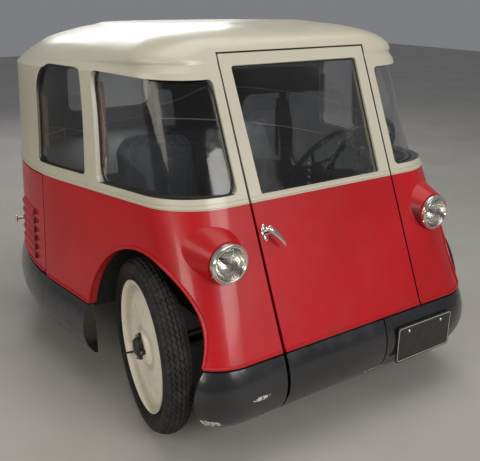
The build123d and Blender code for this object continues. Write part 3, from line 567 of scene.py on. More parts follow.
view = {"azimuth": -33.66, "elevation": 19.9, "roll": 0.19, "place": (-1.564, -2.704, 1.548), "lens": 49.73,
        "shift": (0.0054, -0.0029)}
azimuth, elevation, roll = (radians(view[key]) for key in ("azimuth", "elevation", "roll"))
back = Vector((sin(azimuth) * cos(elevation), -cos(azimuth) * cos(elevation), sin(elevation)))
levelWay = Vector((cos(azimuth), sin(azimuth), 0.0))
riseWay = back.cross(levelWay)
rightWay = levelWay * cos(roll) + riseWay * sin(roll)
upWay = riseWay * cos(roll) - levelWay * sin(roll)
cameraData = bpy.data.cameras.new("camera")
cameraData.lens, cameraData.sensor_width = view["lens"], 36.0
cameraData.shift_x, cameraData.shift_y = view["shift"]
camera = bpy.data.objects.new("camera", cameraData)
scene.collection.objects.link(camera)
pose = Matrix((rightWay, upWay, back)).transposed().to_4x4()
pose.translation = Vector(view["place"])
camera.matrix_world = pose
scene.camera = camera
scene.view_settings.view_transform = "Standard"


def floorPaint():
    g = Graph("studioFloor")
    return g.done(
        Base_Color=g.mix(g.noise(1.2, 4).fade(0.3, 0.7), (0.47, 0.455, 0.43), (0.42, 0.405, 0.38)),
        Roughness=g.noise(3, 4).fade(0.3, 0.7, 0.5, 0.62), Normal=g.bump(g.noise(60, 3), 0.0006),
    )


bm = bmesh.new()
bmesh.ops.create_grid(bm, x_segments=1, y_segments=1, size=14)
floorMesh = bpy.data.meshes.new("studio_floor")
bm.to_mesh(floorMesh)
bm.free()
floorMesh.materials.append(floorPaint())
floor = bpy.data.objects.new("studio_floor", floorMesh)
scene.collection.objects.link(floor)

world = bpy.data.worlds.new("studio")
world.use_nodes = True
world.node_tree.nodes["Background"].inputs["Color"].default_value = (0.78, 0.80, 0.84, 1)
world.node_tree.nodes["Background"].inputs["Strength"].default_value = 0.26
scene.world = world

lights = {  # place, aim, width and height, power, tint
    "ceiling": ((0.4, -0.6, 4.6), (0, 0, 0.8), (5.0, 3.2), 78, (1.0, 0.95, 0.86)),
    "front": ((0.5, -5.2, 2.6), (0, -0.6, 0.7), (2.6, 1.8), 108, (1.0, 0.97, 0.95)),
    "side": ((-4.2, -0.6, 2.6), (0, 0, 0.8), (2.0, 1.4), 26, (1.0, 0.93, 0.82)),
    "behind": ((1.5, 4.5, 3.0), (0, 0.6, 0.8), (3.0, 1.5), 55, (1, 1, 1)),
    "low": ((-3.4, -2.2, 1.3), (-0.5, -0.8, 0.3), (1.2, 0.7), 22, (1.0, 0.96, 0.9)),
}
for name, (place, aim, size, power, tint) in lights.items():
    data = bpy.data.lights.new(name, "AREA")
    data.shape, data.size, data.size_y, data.energy, data.color = "RECTANGLE", size[0], size[1], power, tint
    light = bpy.data.objects.new(name, data)
    scene.collection.objects.link(light)
    light.location = place
    light.rotation_mode = "QUATERNION"
    light.rotation_quaternion = (Vector(place) - Vector(aim)).to_track_quat("Z", "Y")
print("camera and light")

# beads and mouldings
arch = {"half": 0.335, "rise": 0.375, "foot": 0.066, "grow": 0.002, "proud": 0.001, "steps": 48}
bead = {
    "belt": 0.0042, "thin": 0.0022, "foot": 0.0052, "lip": 0.0068,  # radii
    "beltUp": 0.006, "thinUp": 0.0185, "footUp": 0.006, "doorFootUp": 0.007, "coverUp": 0.013, "doorUp": 0.002,
    "beltEdge": 0.343, "footEdge": 0.342, "tailEdge": 0.297, "coverEdge": 0.314,  # where they end, across
    "archFront": 0.006, "archRear": 0.012, "sideEnd": -0.064, "coverStart": -0.054,
}
doorSpan = {"latch": -0.3305, "hinge": 0.331, "footLatch": -0.3245, "footHinge": 0.3305, "steps": 12}


def beltLine(height):  # round the body from one door edge to the other
    ring = [Vector(p) for p in planAt(height, "belt", "head")]
    sideRun = [p for p in ring if p.x > bead["beltEdge"]]
    nose = Vector((bead["beltEdge"], sideRun[0].y, sideRun[0].z))
    half = [nose, *sideRun, *(p for p in ring[tailLast:] if p.x <= bead["beltEdge"])]
    return half + mirrored(half[::-1][1:])


def doorLine(latch, hinge, z):
    steps = doorSpan["steps"]
    return [slopePoint(latch + (hinge - latch) * i / steps, z) for i in range(steps + 1)]


for name, key in (("belt_bead", "belt"), ("belt_line", "thin")):
    height, size = bead[key + "Up"], bead[key]
    bm = bmesh.new()
    tube(bm, beltLine(height), size, 8)
    settle(bm, name, "body", "cream_paint", trims["creamBead"])
    bm = bmesh.new()
    tube(bm, doorLine(doorSpan["latch"], doorSpan["hinge"], beltZ + height + bead["doorUp"]), size, 8)
    settle(bm, f"door_{name}", "door", "cream_frame", trims["creamBead"])


def archPoint(turn, side):  # round the arch edge, on the skin
    y = axleY + (arch["half"] + arch["grow"]) * cos(turn)
    z = axleZ + (arch["rise"] + arch["grow"]) * sin(turn)
    return wallPoint(y, z, side, inset=-arch["proud"])


footTurn = asin(arch["foot"] / arch["rise"])
archFront, archRear = axleY - arch["half"] * cos(footTurn), axleY + arch["half"] * cos(footTurn)
footRow = planAt(bead["footUp"], inset=-arch["proud"])
coverRow = planAt(bead["coverUp"], inset=-arch["proud"])
for side, word in ((-1, "right"), (1, "left")):
    footPoints = [Vector((side * x, y, z)) for x, y, z in footRow]
    frontRun = [p for p in footPoints if abs(p.x) > bead["footEdge"] and p.y < archFront - bead["archFront"]]
    frontRun.insert(0, Vector((side * bead["footEdge"], frontRun[0].y, frontRun[0].z)))
    rearRun = [p for p in footPoints if archRear + bead["archRear"] < p.y < bead["sideEnd"]]
    sweep = (pi - 2 * footTurn) / arch["steps"]
    archRun = [archPoint(pi - footTurn - sweep * i, side) for i in range(arch["steps"] + 1)]
    bm = bmesh.new()
    tube(bm, frontRun + [archRun[0]], bead["foot"], 10)
    tube(bm, archRun, bead["lip"], 12)
    tube(bm, [archRun[-1]] + rearRun, bead["foot"], 10)
    settle(bm, f"foot_bead_{word}", "body", "red_paint", trims["redBead"])
    coverRun = [(side * x, y, z) for x, y, z in coverRow if y > bead["coverStart"] and x > bead["coverEdge"]]
    bm = bmesh.new()
    tube(bm, coverRun, bead["foot"], 10)
    settle(bm, f"cover_bead_{word}", f"cover_{word}", "red_paint", trims["redBead"])
bm = bmesh.new()
tailRow = [Vector(p) for p in footRow[tailLast:] if p[0] < bead["tailEdge"]]
tube(bm, tailRow + mirrored(tailRow[::-1][1:]), bead["foot"], 10)
settle(bm, "tail_bead", "body", "red_paint", trims["redBead"])
bm = bmesh.new()
tube(bm, doorLine(doorSpan["footLatch"], doorSpan["footHinge"], footZ + bead["doorFootUp"]), bead["foot"], 10)
settle(bm, "door_foot_bead", "door", "red_paint", trims["redBead"])
print("beads")

# window gaskets, wood strips and screws
gasket = {"radius": 0.0042, "door": 0.0036, "inset": 0.0125, "doorInset": 0.012}
cornerWindow = {"sill": 0.036, "edge": 0.378, "frontEdge": 0.376, "rearGap": 0.006, "rearLine": 0.002,
                "round": 0.024, "head": 1.262, "headRise": 0.015 / 0.355, "rearLow": (-0.465, 0.8817),
                "rearHigh": (-0.405, 1.277)}
quarterWindow = {"frontFoot": -0.387, "frontTop": -0.350, "rear": -0.030, "top": 1.275, "sill": 0.050,
                 "round": 0.120, "corner": 0.012, "foot": 0.022}
rearWindow = {"centre": (0.0, 1.01), "half": (0.2, 0.08), "round": 0.058}
doorWindow = {"corners": ((-0.281, 0.882), (0.281, 0.882), (0.289, 1.300), (-0.289, 1.300)), "round": 0.012}


def glassWall(y, z, side, inset=gasket["inset"]):
    return wallPoint(y, z, side, "beltInside", "glassTop", inset)


def glassBand(index, z, side):
    return bandPoint(index, z, "beltInside", "glassTop", gasket["inset"], side)


def sideHead(y):  # the corner window's head line
    return cornerWindow["head"] + (y - axleY) * cornerWindow["headRise"]


def rearEdge(z):  # the corner window's rear line
    low, high = cornerWindow["rearLow"], cornerWindow["rearHigh"]
    return low[0] + (high[0] - low[0]) * (z - low[1]) / (high[1] - low[1])


def roundedLoop(runs, radius):  # four runs of points joined by round corners
    corners = [(run[-1] + runs[(n + 1) % 4][0]) / 2 for n, run in enumerate(runs)]
    kept = []
    for n, run in enumerate(runs):
        ends = (corners[n - 1], corners[n])
        kept.append([p for p in run if all((p - end).length > radius for end in ends)])
    loop = []
    for n, run in enumerate(kept):
        first, last = run[-1], kept[(n + 1) % 4][0]
        loop += run
        loop += [first * (1 - t) ** 2 + corners[n] * (2 * t * (1 - t)) + last * t**2 for t in (0.2, 0.4, 0.6, 0.8)]
    return loop


def cornerLoop(side):
    sill, head = [], []
    at = cornerWindow
    for index, place in enumerate(planPoints("beltInside", gasket["inset"])):
        p = glassBand(index, beltHeight(place[1]) + at["sill"], side)
        z = beltHeight(p.y) + at["sill"]
        p = glassBand(index, z, side)
        if abs(p.x) > at["edge"] and p.y < rearEdge(z) - at["rearGap"] and p.y < 0:
            sill.append(p)
        z = sideHead(p.y)
        for _ in range(3):
            p = glassBand(index, z, side)
            z = sideHead(p.y)
        if abs(p.x) > at["edge"] and p.y < rearEdge(z) - at["rearGap"] and p.y < 0:
            head.append(p)
    rear, front = [], []
    for share in (i / 12 for i in range(1, 12)):
        z = sill[-1].z + (head[-1].z - sill[-1].z) * share
        rear.append(glassWall(rearEdge(z) - at["rearLine"], z, side))
        z = head[0].z + (sill[0].z - head[0].z) * share
        front.append(Vector((side * at["frontEdge"], frontY(z) + gasket["inset"], z)))
    return roundedLoop((sill, rear, head[::-1], front), at["round"])


def quarterLoop(side):
    at = quarterWindow
    frontFoot, frontTop, rear, top, turnAt = at["frontFoot"], at["frontTop"], at["rear"], at["top"], at["round"]
    foot, low = beltHeight(frontFoot) + at["sill"], beltHeight(rear) + at["sill"]
    points = []
    for i in range(12):
        y = frontFoot + (rear - frontFoot) * i / 12
        points.append((y, beltHeight(y) + at["sill"]))
    for i in range(9):
        points.append((rear, low + at["foot"] + (top - turnAt - low - at["foot"]) * i / 8))
    for i in range(1, 9):
        turn = pi / 2 * i / 8
        points.append((rear - turnAt + turnAt * cos(turn), top - turnAt + turnAt * sin(turn)))
    for i in range(1, 9):
        points.append((rear - turnAt + (frontTop + at["corner"] - rear + turnAt) * i / 8, top))
    for i in range(1, 12):
        z = top - at["corner"] + (foot + 2 * at["corner"] - top) * i / 11
        points.append((frontTop + (frontFoot - frontTop) * (top - z) / (top - foot), z))
    return [glassWall(y, z, side) for y, z in points]


bm = bmesh.new()
for side in (-1, 1):
    tube(bm, cornerLoop(side), gasket["radius"], 8, loop=True)
    tube(bm, quarterLoop(side), gasket["radius"], 8, loop=True)
rearOutline = roundedBox(rearWindow["centre"], rearWindow["half"], rearWindow["round"], 9)
rearLoop = [tailPoint(x, z, "beltInside", "glassTop", gasket["inset"]) for x, z in rearOutline]
tube(bm, rearLoop, gasket["radius"], 8, loop=True)
settle(bm, "window_gaskets", "body", "cream_paint", trims["gasket"])

bm = bmesh.new()
doorLoop = []
for n, (x, z) in enumerate(doorWindow["corners"]):
    nextX, nextZ = doorWindow["corners"][(n + 1) % 4]
    lastX, lastZ = doorWindow["corners"][n - 1]
    ahead = Vector((nextX - x, nextZ - z)).normalized() * doorWindow["round"]
    behind = Vector((lastX - x, lastZ - z)).normalized() * doorWindow["round"]
    for t in (0.0, 0.25, 0.5, 0.75, 1.0):
        corner = behind * (1 - t) ** 2 + ahead * t**2
        doorLoop.append(slopePoint(x + corner.x, z + corner.y, -gasket["doorInset"]))
    for i in range(1, 9):
        t = 0.03 + 0.94 * i / 9
        doorLoop.append(slopePoint(x + (nextX - x) * t, z + (nextZ - z) * t, -gasket["doorInset"]))
tube(bm, doorLoop, gasket["door"], 8, loop=True)
settle(bm, "door_gasket", "door", "cream_frame", trims["gasket"])

strips = {
    "half": 0.011, "depth": 0.012, "inset": 0.0185, "steps": 9,
    "runs": ((-0.052, 0.94, 1.14, 0.0, 0.0), (-0.352, 0.93, 1.24, 0.0, 0.012), (-0.463, 0.93, 1.235, 1.0, 0.0)),
    "screw": ((0.0, 0.0), (0.0, 0.0036), (0.0012, 0.0028), (0.0016, 0.0)), "screwsAt": (0.12, 0.5, 0.88),
}  # a run: its foot's y, its lowest and highest z, its share of the rear edge's lean, its drift
bm = bmesh.new()
screws = bmesh.new()
for side in (-1, 1):
    for footY, low, high, lean, drift in strips["runs"]:
        line = []
        for i in range(strips["steps"] + 1):
            share = i / strips["steps"]
            z = low + (high - low) * share
            line.append((footY + lean * (rearEdge(z) - rearEdge(low)) + drift * share, z))
        rings = []
        for y, z in line:
            outer = [glassWall(y + d, z, side, strips["inset"]) for d in (-strips["half"], strips["half"])]
            inner = [p + Vector((-side * strips["depth"], 0, 0)) for p in outer]
            rings.append([outer[0], outer[1], inner[1], inner[0]])
        skin(bm, rings, caps=True)
        for share in strips["screwsAt"]:
            y, z = line[round(share * strips["steps"])]
            lathe(screws, strips["screw"], glassWall(y, z, side, strips["inset"]), (side, 0, 0), 12)
settle(bm, "window_strips", "body", "floor_board", trims["strip"], 20)
settle(screws, "strip_screws", "body", "bright_metal")
print("windows")

# headlamps: rim, fluted lens, bowl and bulb; the profiles are (back from the lamp's face, radius)
lamp = {
    "x": 0.489, "y": -1.036, "z": 0.711,
    "rim": ((-0.010, 0.0560), (-0.0165, 0.0567), (-0.0195, 0.0592), (-0.0198, 0.0622), (-0.0170, 0.0655),
            (-0.0120, 0.0682), (-0.0060, 0.0700), (-0.0005, 0.0702), (-0.0005, 0.0610), (-0.0060, 0.0560)),
    "screw": ((-0.004, 0.0), (-0.004, 0.003), (0.003, 0.004), (0.003, 0.0)), "screwsAt": (90, 205, 335),
    "screwRadius": 0.0698, "screwY": -0.008,
    "bowl": ((-0.008, 0.0553), (0.008, 0.0545), (0.022, 0.0490), (0.036, 0.0385), (0.047, 0.022), (0.051, 0.008),
             (0.0525, 0.008), (0.0485, 0.0235), (0.0375, 0.0400), (0.023, 0.0505), (0.009, 0.0558),
             (-0.008, 0.0563)),
    "bulb": ((-0.002, 0.0), (0.0, 0.006), (0.006, 0.0105), (0.016, 0.0115), (0.026, 0.008), (0.032, 0.007),
             (0.052, 0.007), (0.052, 0.0)), "bulbY": 0.004,
}
lens = {"radius": 0.0562, "edge": 0.0565, "rings": 18, "steps": 96, "face": -0.012, "dome": 0.010, "thick": 0.0032,
        "flute": 0.0009, "fluteTurns": 620, "bar": 0.0006, "barTurns": 300, "band": 0.018, "rimFade": 0.008}


def lensPoint(centre, r, turn):
    x, z = r * cos(turn), r * sin(turn)
    dome = lens["dome"] * (1 - (r / lens["edge"]) ** 2)
    strong = 1 if abs(z) > lens["band"] else 0.35
    flute = lens["flute"] * sin(x * lens["fluteTurns"]) * strong + lens["bar"] * sin(z * lens["barTurns"])
    flute *= min(1.0, (lens["edge"] - r) / lens["rimFade"])
    return centre + Vector((x, lens["face"] - dome - flute, z))


for side, word in ((-1, "right"), (1, "left")):
    centre = Vector((side * lamp["x"], lamp["y"], lamp["z"]))
    bm = bmesh.new()
    lathe(bm, lamp["rim"], centre, (0, 1, 0), 72)
    for turn in lamp["screwsAt"]:
        out = Vector((cos(radians(turn)), 0, sin(radians(turn))))
        spot = centre + out * lamp["screwRadius"] + Vector((0, lamp["screwY"], 0))
        lathe(bm, lamp["screw"], spot, -out, 10)
    settle(bm, f"lamp_rim_{word}", "body", "bright_metal")
    bm = bmesh.new()
    turns = [2 * pi * i / lens["steps"] for i in range(lens["steps"])]
    rings = [[lensPoint(centre, r, a) for a in turns] for r in np.linspace(0.0, lens["radius"], lens["rings"])[1:]]
    backRings = [[p + Vector((0, lens["thick"], 0)) for p in ring] for ring in rings]
    skin(bm, rings + backRings[::-1], caps=True)
    lensPiece = settle(bm, f"lamp_lens_{word}", "body", "lamp_glass", sharp=60)
    if side < 0:
        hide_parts("headlamp_lenses")
    bm = bmesh.new()
    lathe(bm, lamp["bowl"], centre, (0, 1, 0), 60)
    settle(bm, f"lamp_bowl_{word}", "body", "bright_metal", trims["reflector"])
    bm = bmesh.new()
    lathe(bm, lamp["bulb"], centre + Vector((0, lamp["bulbY"], 0)), (0, 1, 0), 24)
    settle(bm, f"lamp_bulb_{word}", "body", "lamp_glass", trims["bulb"])
print("lamps")

# the door handle: an oval plate, a stem and a bent lever, all as distances out from the door
handle = {
    "x": -0.305, "z": 0.763, "plateHalf": (0.0145, 0.0305),
    "plate": ((1.0, 0.0002), (1.0, 0.0025), (0.93, 0.0052), (0.78, 0.0068), (0.66, 0.0064), (0.52, 0.0074),
              (0.3, 0.009)),  # share of the plate's half, out
    "stem": ((0.006, 0.0100), (0.010, 0.0078), (0.020, 0.0066), (0.028, 0.0066), (0.034, 0.0072), (0.038, 0.0072)),
    "lever": ((-0.007, 0.018, 0.0405, 0.0060), (-0.003, 0.013, 0.0415, 0.0100), (0.004, 0.005, 0.042, 0.0112),
              (0.016, -0.008, 0.042, 0.0104), (0.030, -0.024, 0.0405, 0.0088), (0.042, -0.039, 0.0375, 0.0070),
              (0.051, -0.052, 0.0325, 0.0050), (0.055, -0.060, 0.0275, 0.0024)),  # across, up, out, radius
    "leverFlat": 0.62, "screw": ((0.0, 0.0), (0.0, 0.0042), (0.002, 0.0036), (0.002, 0.0)),
    "screwAt": (-0.001, 0.011, 0.0470),
}
doorOut, doorUp = Vector((0, -cos(slope), sin(slope))), Vector((0, sin(slope), cos(slope)))


def onDoor(x, rise, out):
    return slopePoint(handle["x"] + x, handle["z"]) + doorUp * rise + doorOut * out


def doorRing(half, out, count):
    turns = [2 * pi * i / count for i in range(count)]
    return [onDoor(half[0] * cos(a), half[1] * sin(a), out) for a in turns]


bm = bmesh.new()
plateWide, plateHigh = handle["plateHalf"]
skin(bm, [doorRing((share * plateWide, share * plateHigh), out, 40) for share, out in handle["plate"]], caps=True)
skin(bm, [doorRing((radius, radius), out, 24) for out, radius in handle["stem"]], caps=True)
line = smoothLine([onDoor(x, z, out) for x, z, out, _ in handle["lever"]], 5)
leverCount = len(handle["lever"])
leverAt = np.linspace(0, leverCount - 1, len(line))
widths = np.interp(leverAt, range(leverCount), [row[3] for row in handle["lever"]])
tube(bm, line, 0.01, 16, radii=list(widths), flat=handle["leverFlat"], up=tuple(doorOut))
lathe(bm, handle["screw"], onDoor(*handle["screwAt"]), doorOut, 16)
handlePiece = settle(bm, "handle_trim", "door", "bright_metal")
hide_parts("door_handle")

# the engine covers' tee handles
tee = {
    "y": 0.325, "z": 0.530, "barOut": 0.040,
    "stem": ((-0.001, 0.0), (-0.001, 0.014), (0.002, 0.013), (0.004, 0.008), (0.006, 0.0052), (0.036, 0.0046),
             (0.038, 0.006), (0.042, 0.006), (0.042, 0.0)),
    "bar": ((-0.0155, 0.002), (-0.0148, 0.0042), (-0.012, 0.0058), (-0.006, 0.0054), (0.0, 0.0062),
            (0.006, 0.0054), (0.012, 0.0058), (0.0148, 0.0042), (0.0155, 0.002)),  # up, radius
}
for side, word in ((-1, "right"), (1, "left")):
    root = wallPoint(tee["y"], tee["z"], side)
    bm = bmesh.new()
    lathe(bm, tee["stem"], root, (side, 0, 0), 24)
    middle = root + Vector((side * tee["barOut"], 0, 0))
    bar = [middle + Vector((0, 0, d)) for d, _ in tee["bar"]]
    tube(bm, bar, 0.006, 14, radii=[radius for _, radius in tee["bar"]])
    teePiece = settle(bm, f"cover_tee_{word}", f"cover_{word}", "bright_metal")
    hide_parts(f"cover_handle_{word}")

# number plate, left bare
plate = {"centre": (0.335, 0.262), "half": (0.1345, 0.0605), "round": 0.0095, "face": -1.1843, "edge": 0.0022,
         "edgeIn": 0.0004, "bolts": (-0.089, 0.089), "boltUp": 0.050,
         "bolt": ((0.0, 0.0), (0.0, 0.0062), (0.0008, 0.0062), (0.0018, 0.005), (0.0026, 0.003), (0.0028, 0.0))}
bm = bmesh.new()
edge = roundedBox(plate["centre"], plate["half"], plate["round"], 7)
tube(bm, [(x, plate["face"] + plate["edgeIn"], z) for x, z in edge], plate["edge"], 8, loop=True, flat=0.6)
settle(bm, "plate_edge", "body", "black_paint", trims["plateEdge"])
bm = bmesh.new()
for across in plate["bolts"]:
    spot = (plate["centre"][0] + across, plate["face"], plate["centre"][1] + plate["boltUp"])
    lathe(bm, plate["bolt"], spot, (0, -1, 0), 20)
settle(bm, "plate_bolts", "body", "bright_metal")

tailLamp = {
    "x": 0.215, "y": 1.1153, "z": 0.620,
    "rim": ((-0.020, 0.0345), (-0.004, 0.0352), (0.0005, 0.0345), (0.0005, 0.0305), (-0.020, 0.0305)),
    "lens": ((-0.002, 0.0305), (0.0, 0.030), (0.005, 0.027), (0.008, 0.021), (0.0095, 0.012), (0.010, 0.0)),
}
for side, word in ((-1, "right"), (1, "left")):
    centre = Vector((side * tailLamp["x"], tailLamp["y"], tailLamp["z"]))
    bm = bmesh.new()
    lathe(bm, tailLamp["rim"], centre, (0, 1, 0), 48)
    settle(bm, f"tail_rim_{word}", "body", "bright_metal")
    bm = bmesh.new()
    lathe(bm, tailLamp["lens"], centre, (0, 1, 0), 40)
    settle(bm, f"tail_lens_{word}", "body", "lamp_red")
print("fittings")

# wheels: tread, nuts, rim lip and hub caps; the profiles are (out along the axle, radius)
kingpinX, wheelOut, parked, rearY = 0.560, 0.080, radians(-8.5), 0.710
wheelPlaces = {
    "front_right": (Vector((-kingpinX - wheelOut * cos(parked), axleY - wheelOut * sin(parked), axleZ)),
                    Vector((-cos(parked), -sin(parked), 0)), "front_wheel_right"),
    "front_left": (Vector((kingpinX + wheelOut * cos(parked), axleY + wheelOut * sin(parked), axleZ)),
                   Vector((cos(parked), sin(parked), 0)), "front_wheel_left"),
    "rear": (Vector((0, rearY, axleZ)), Vector((1, 0, 0)), "rear_wheel"),
}
tread = {
    "wall": ((-0.0312, 0.2364), (-0.0320, 0.2450), (-0.0345, 0.2500), (-0.0405, 0.2580), (-0.0455, 0.2680),
             (-0.0484, 0.2790), (-0.0492, 0.2880), (-0.0486, 0.2955), (-0.0470, 0.3020), (-0.0450, 0.3060),
             (-0.0425, 0.3092)),
    "radius": 0.3250, "half": 0.0405, "drop": 0.0152, "crown": 2.3, "rows": 35,
    "ribs": 84, "perRib": 8, "depth": 0.0048, "shoulder": 0.0370, "shoulderDepth": 0.0030,
    "grooves": ((0.0, 0.0030, 0.0017), (0.0165, 0.0034, 0.0019), (-0.0165, 0.0034, 0.0019),
                (0.0320, 0.0030, 0.0017), (-0.0320, 0.0030, 0.0017)),  # place, swing, half its width
    "lines": ((0.0458, 0.2640), (0.0475, 0.2740), (0.0480, 0.2985)), "line": 0.0011,
}
nut = {"circle": 0.045, "face": 0.0378, "count": 4,
       "profile": ((0.0, 0.0), (0.0, 0.0105), (0.002, 0.0105), (0.002, 0.0092), (0.0095, 0.0092), (0.011, 0.0075),
                   (0.011, 0.0052), (0.0185, 0.0050), (0.0195, 0.0038), (0.0195, 0.0))}
valve = {"turn": 0.6, "circle": 0.214, "face": 0.022,
         "profile": ((0.0, 0.0), (0.0, 0.005), (0.012, 0.0045), (0.026, 0.0038), (0.026, 0.0046), (0.034, 0.0046),
                     (0.036, 0.003), (0.036, 0.0))}
rimLip = {"out": 0.0395, "circle": 0.2420, "radius": 0.0032, "sides": 12}
hubCap = {"profile": ((0.036, 0.0), (0.036, 0.0352), (0.040, 0.0352), (0.041, 0.0330), (0.056, 0.0318),
                      (0.0590, 0.0300), (0.0600, 0.0262), (0.0590, 0.0225), (0.0575, 0.0180), (0.0600, 0.0135),
                      (0.0618, 0.0080), (0.0620, 0.0)),
          "ribs": 8, "ribCircle": 0.0322, "ribRun": (0.042, 0.046, 0.050, 0.0545), "rib": 0.0022}


def treadProfile():  # out along the axle, radius, and whether the tread is cut there
    last = len(tread["wall"]) - 1
    wall = [(along, radius, n == last) for n, (along, radius) in enumerate(tread["wall"])]
    crown = []
    for along in np.linspace(-tread["half"], tread["half"], tread["rows"]):
        crown.append((along, tread["radius"] - tread["drop"] * abs(along / tread["half"]) ** tread["crown"], True))
    return wall + crown + [(-along, radius, cut) for along, radius, cut in wall[::-1]]


def treadDepth(along, step):
    phase = pi * step / tread["perRib"]
    depth = 0.0
    for place, swing, width in tread["grooves"]:
        away = abs(along - place - swing * (abs(sin(phase + place * 40)) * 2 - 1))
        depth = max(depth, tread["depth"] * max(0.0, min(1.0, (width * 1.5 - away) / (width * 0.7))))
    if abs(along) > tread["shoulder"]:
        depth = max(depth, tread["shoulderDepth"] if step % tread["perRib"] in (0, 1) else 0.0)
    return depth


treadRows = treadProfile()
treadSteps = tread["ribs"] * tread["perRib"]
for place, (centre, axis, body) in wheelPlaces.items():
    axis, first, second = frameAlong(axis)

    def outward(turn):
        return first * cos(turn) + second * sin(turn)

    bm = bmesh.new()
    rings = []
    for step in range(treadSteps):
        out = outward(2 * pi * step / treadSteps)
        rings.append([centre + axis * along + out * (radius - (treadDepth(along, step) if cut else 0.0))
                      for along, radius, cut in treadRows])
    skin(bm, rings, closed=True)
    for offset, radius in tread["lines"]:
        for sign in (-1, 1):
            circle = [centre + axis * (sign * offset) + outward(2 * pi * i / 120) * radius for i in range(120)]
            tube(bm, circle, tread["line"], 6, loop=True)
    tyrePiece = settle(bm, f"tread_{place}", body, "tyre_rubber", sharp=40)
    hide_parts(f"tyre_{place}")
    bm = bmesh.new()
    for i in range(nut["count"]):
        spot = centre + axis * nut["face"] + outward(2 * pi * i / nut["count"]) * nut["circle"]
        lathe(bm, nut["profile"], spot, axis, 6)
    spot = centre + axis * valve["face"] + outward(valve["turn"]) * valve["circle"]
    lathe(bm, valve["profile"], spot, axis, 14)
    settle(bm, f"wheel_nuts_{place}", body, "hub_metal")
    bm = bmesh.new()
    lipTurns = [2 * pi * i / rimLip["sides"] for i in range(rimLip["sides"])]
    lipRing = [(rimLip["out"] + rimLip["radius"] * cos(a), rimLip["circle"] + rimLip["radius"] * sin(a))
               for a in lipTurns]
    lathe(bm, lipRing, centre, axis, 120)
    settle(bm, f"wheel_lip_{place}", body, "wheel_paint")
    if place != "rear":
        bm = bmesh.new()
        lathe(bm, hubCap["profile"], centre, axis, 48)
        for i in range(hubCap["ribs"]):
            foot = centre + outward(2 * pi * i / hubCap["ribs"]) * hubCap["ribCircle"]
            tube(bm, [foot + axis * along for along in hubCap["ribRun"]], hubCap["rib"], 6)
        settle(bm, f"hub_cap_{place}", body, "hub_metal")
print("wheels")

# steering wheel
handWheel = {
    "top": Vector((0.380, -0.720, 0.905)), "foot": Vector((0.380, -0.932, 0.806)), "radius": 0.165, "steps": 144,
    "grip": 0.0118, "ridge": 0.0011, "ridges": 36, "spokes": (90, 210, 330), "spokeFlat": 0.5,
    "spoke": ((0.020, 0.004), (0.050, 0.001), (0.090, -0.004), (0.130, -0.003), (0.160, 0.0)),  # out, up
    "spokeRadii": (0.0098, 0.0062),
    "boss": ((-0.030, 0.0), (-0.030, 0.022), (-0.010, 0.028), (0.004, 0.030), (0.008, 0.026), (0.009, 0.018),
             (0.013, 0.016), (0.015, 0.010), (0.0155, 0.0)),
}
axis, first, second = frameAlong(handWheel["top"] - handWheel["foot"])
gripTurns = [2 * pi * k / 14 for k in range(14)]
bm = bmesh.new()
rings = []
for i in range(handWheel["steps"]):
    turn = 2 * pi * i / handWheel["steps"]
    out = first * cos(turn) + second * sin(turn)
    strong = 1 if sin(turn * 1.5) ** 2 > 0.12 else 0.2
    grip = handWheel["grip"] + handWheel["ridge"] * cos(turn * handWheel["ridges"]) * strong
    rings.append([handWheel["top"] + out * (handWheel["radius"] + grip * cos(a)) + axis * (grip * sin(a))
                  for a in gripTurns])
skin(bm, rings, closed=True)
rimPiece = settle(bm, "steering_rim", "hand_wheel", "black_rim", sharp=60)
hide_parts("steering_wheel")
bm = bmesh.new()
across = Vector((1, 0, 0))
upward = axis.cross(across).normalized()
for spoke in handWheel["spokes"]:
    out = across * cos(radians(spoke)) + upward * sin(radians(spoke))
    line = smoothLine([handWheel["top"] + out * r + axis * h for r, h in handWheel["spoke"]], 4)
    radii = list(np.linspace(*handWheel["spokeRadii"], len(line)))
    tube(bm, line, 0.008, 12, radii=radii, flat=handWheel["spokeFlat"], up=tuple(axis))
lathe(bm, handWheel["boss"], handWheel["top"], axis, 40)
settle(bm, "steering_spokes", "hand_wheel", "black_rim")

# seats, puffed up by a short cloth run
padding = {"voxel": 0.008, "cap": 0.015, "fill": 0.7, "pressure": 4.0, "steps": 20}


def upholster(bm, name):
    mesh = bpy.data.meshes.new(name)
    bm.to_mesh(mesh)
    bm.free()
    piece = bpy.data.objects.new(name, mesh)
    scene.collection.objects.link(piece)
    remesh = piece.modifiers.new("Remesh", "REMESH")
    remesh.mode, remesh.voxel_size = "VOXEL", padding["voxel"]
    even = bpy.data.meshes.new_from_object(piece.evaluated_get(bpy.context.evaluated_depsgraph_get()))
    piece.modifiers.clear()
    piece.data = even
    rest = np.zeros(len(even.vertices) * 3)
    even.vertices.foreach_get("co", rest)
    rest = rest.reshape(-1, 3)
    settings = piece.modifiers.new("Cloth", "CLOTH").settings
    settings.quality, settings.mass = 5, 0.3
    settings.use_pressure, settings.uniform_pressure_force = True, padding["pressure"]
    settings.effector_weights.gravity = 0.0
    settings.tension_stiffness = settings.compression_stiffness = 15
    settings.shear_stiffness, settings.bending_stiffness = 10, 2
    for step in range(1, padding["steps"] + 1):
        scene.frame_set(step)
    grown = piece.evaluated_get(bpy.context.evaluated_depsgraph_get()).to_mesh()
    moved = np.zeros(len(rest) * 3)
    grown.vertices.foreach_get("co", moved)
    moved = moved.reshape(-1, 3) - rest
    length = np.linalg.norm(moved, axis=1, keepdims=True)
    moved *= np.minimum(1.0, padding["cap"] / np.maximum(length, 1e-9))
    piece.modifiers.clear()
    piece.data.vertices.foreach_set("co", (rest + moved).ravel())
    scene.frame_set(1)
    return piece


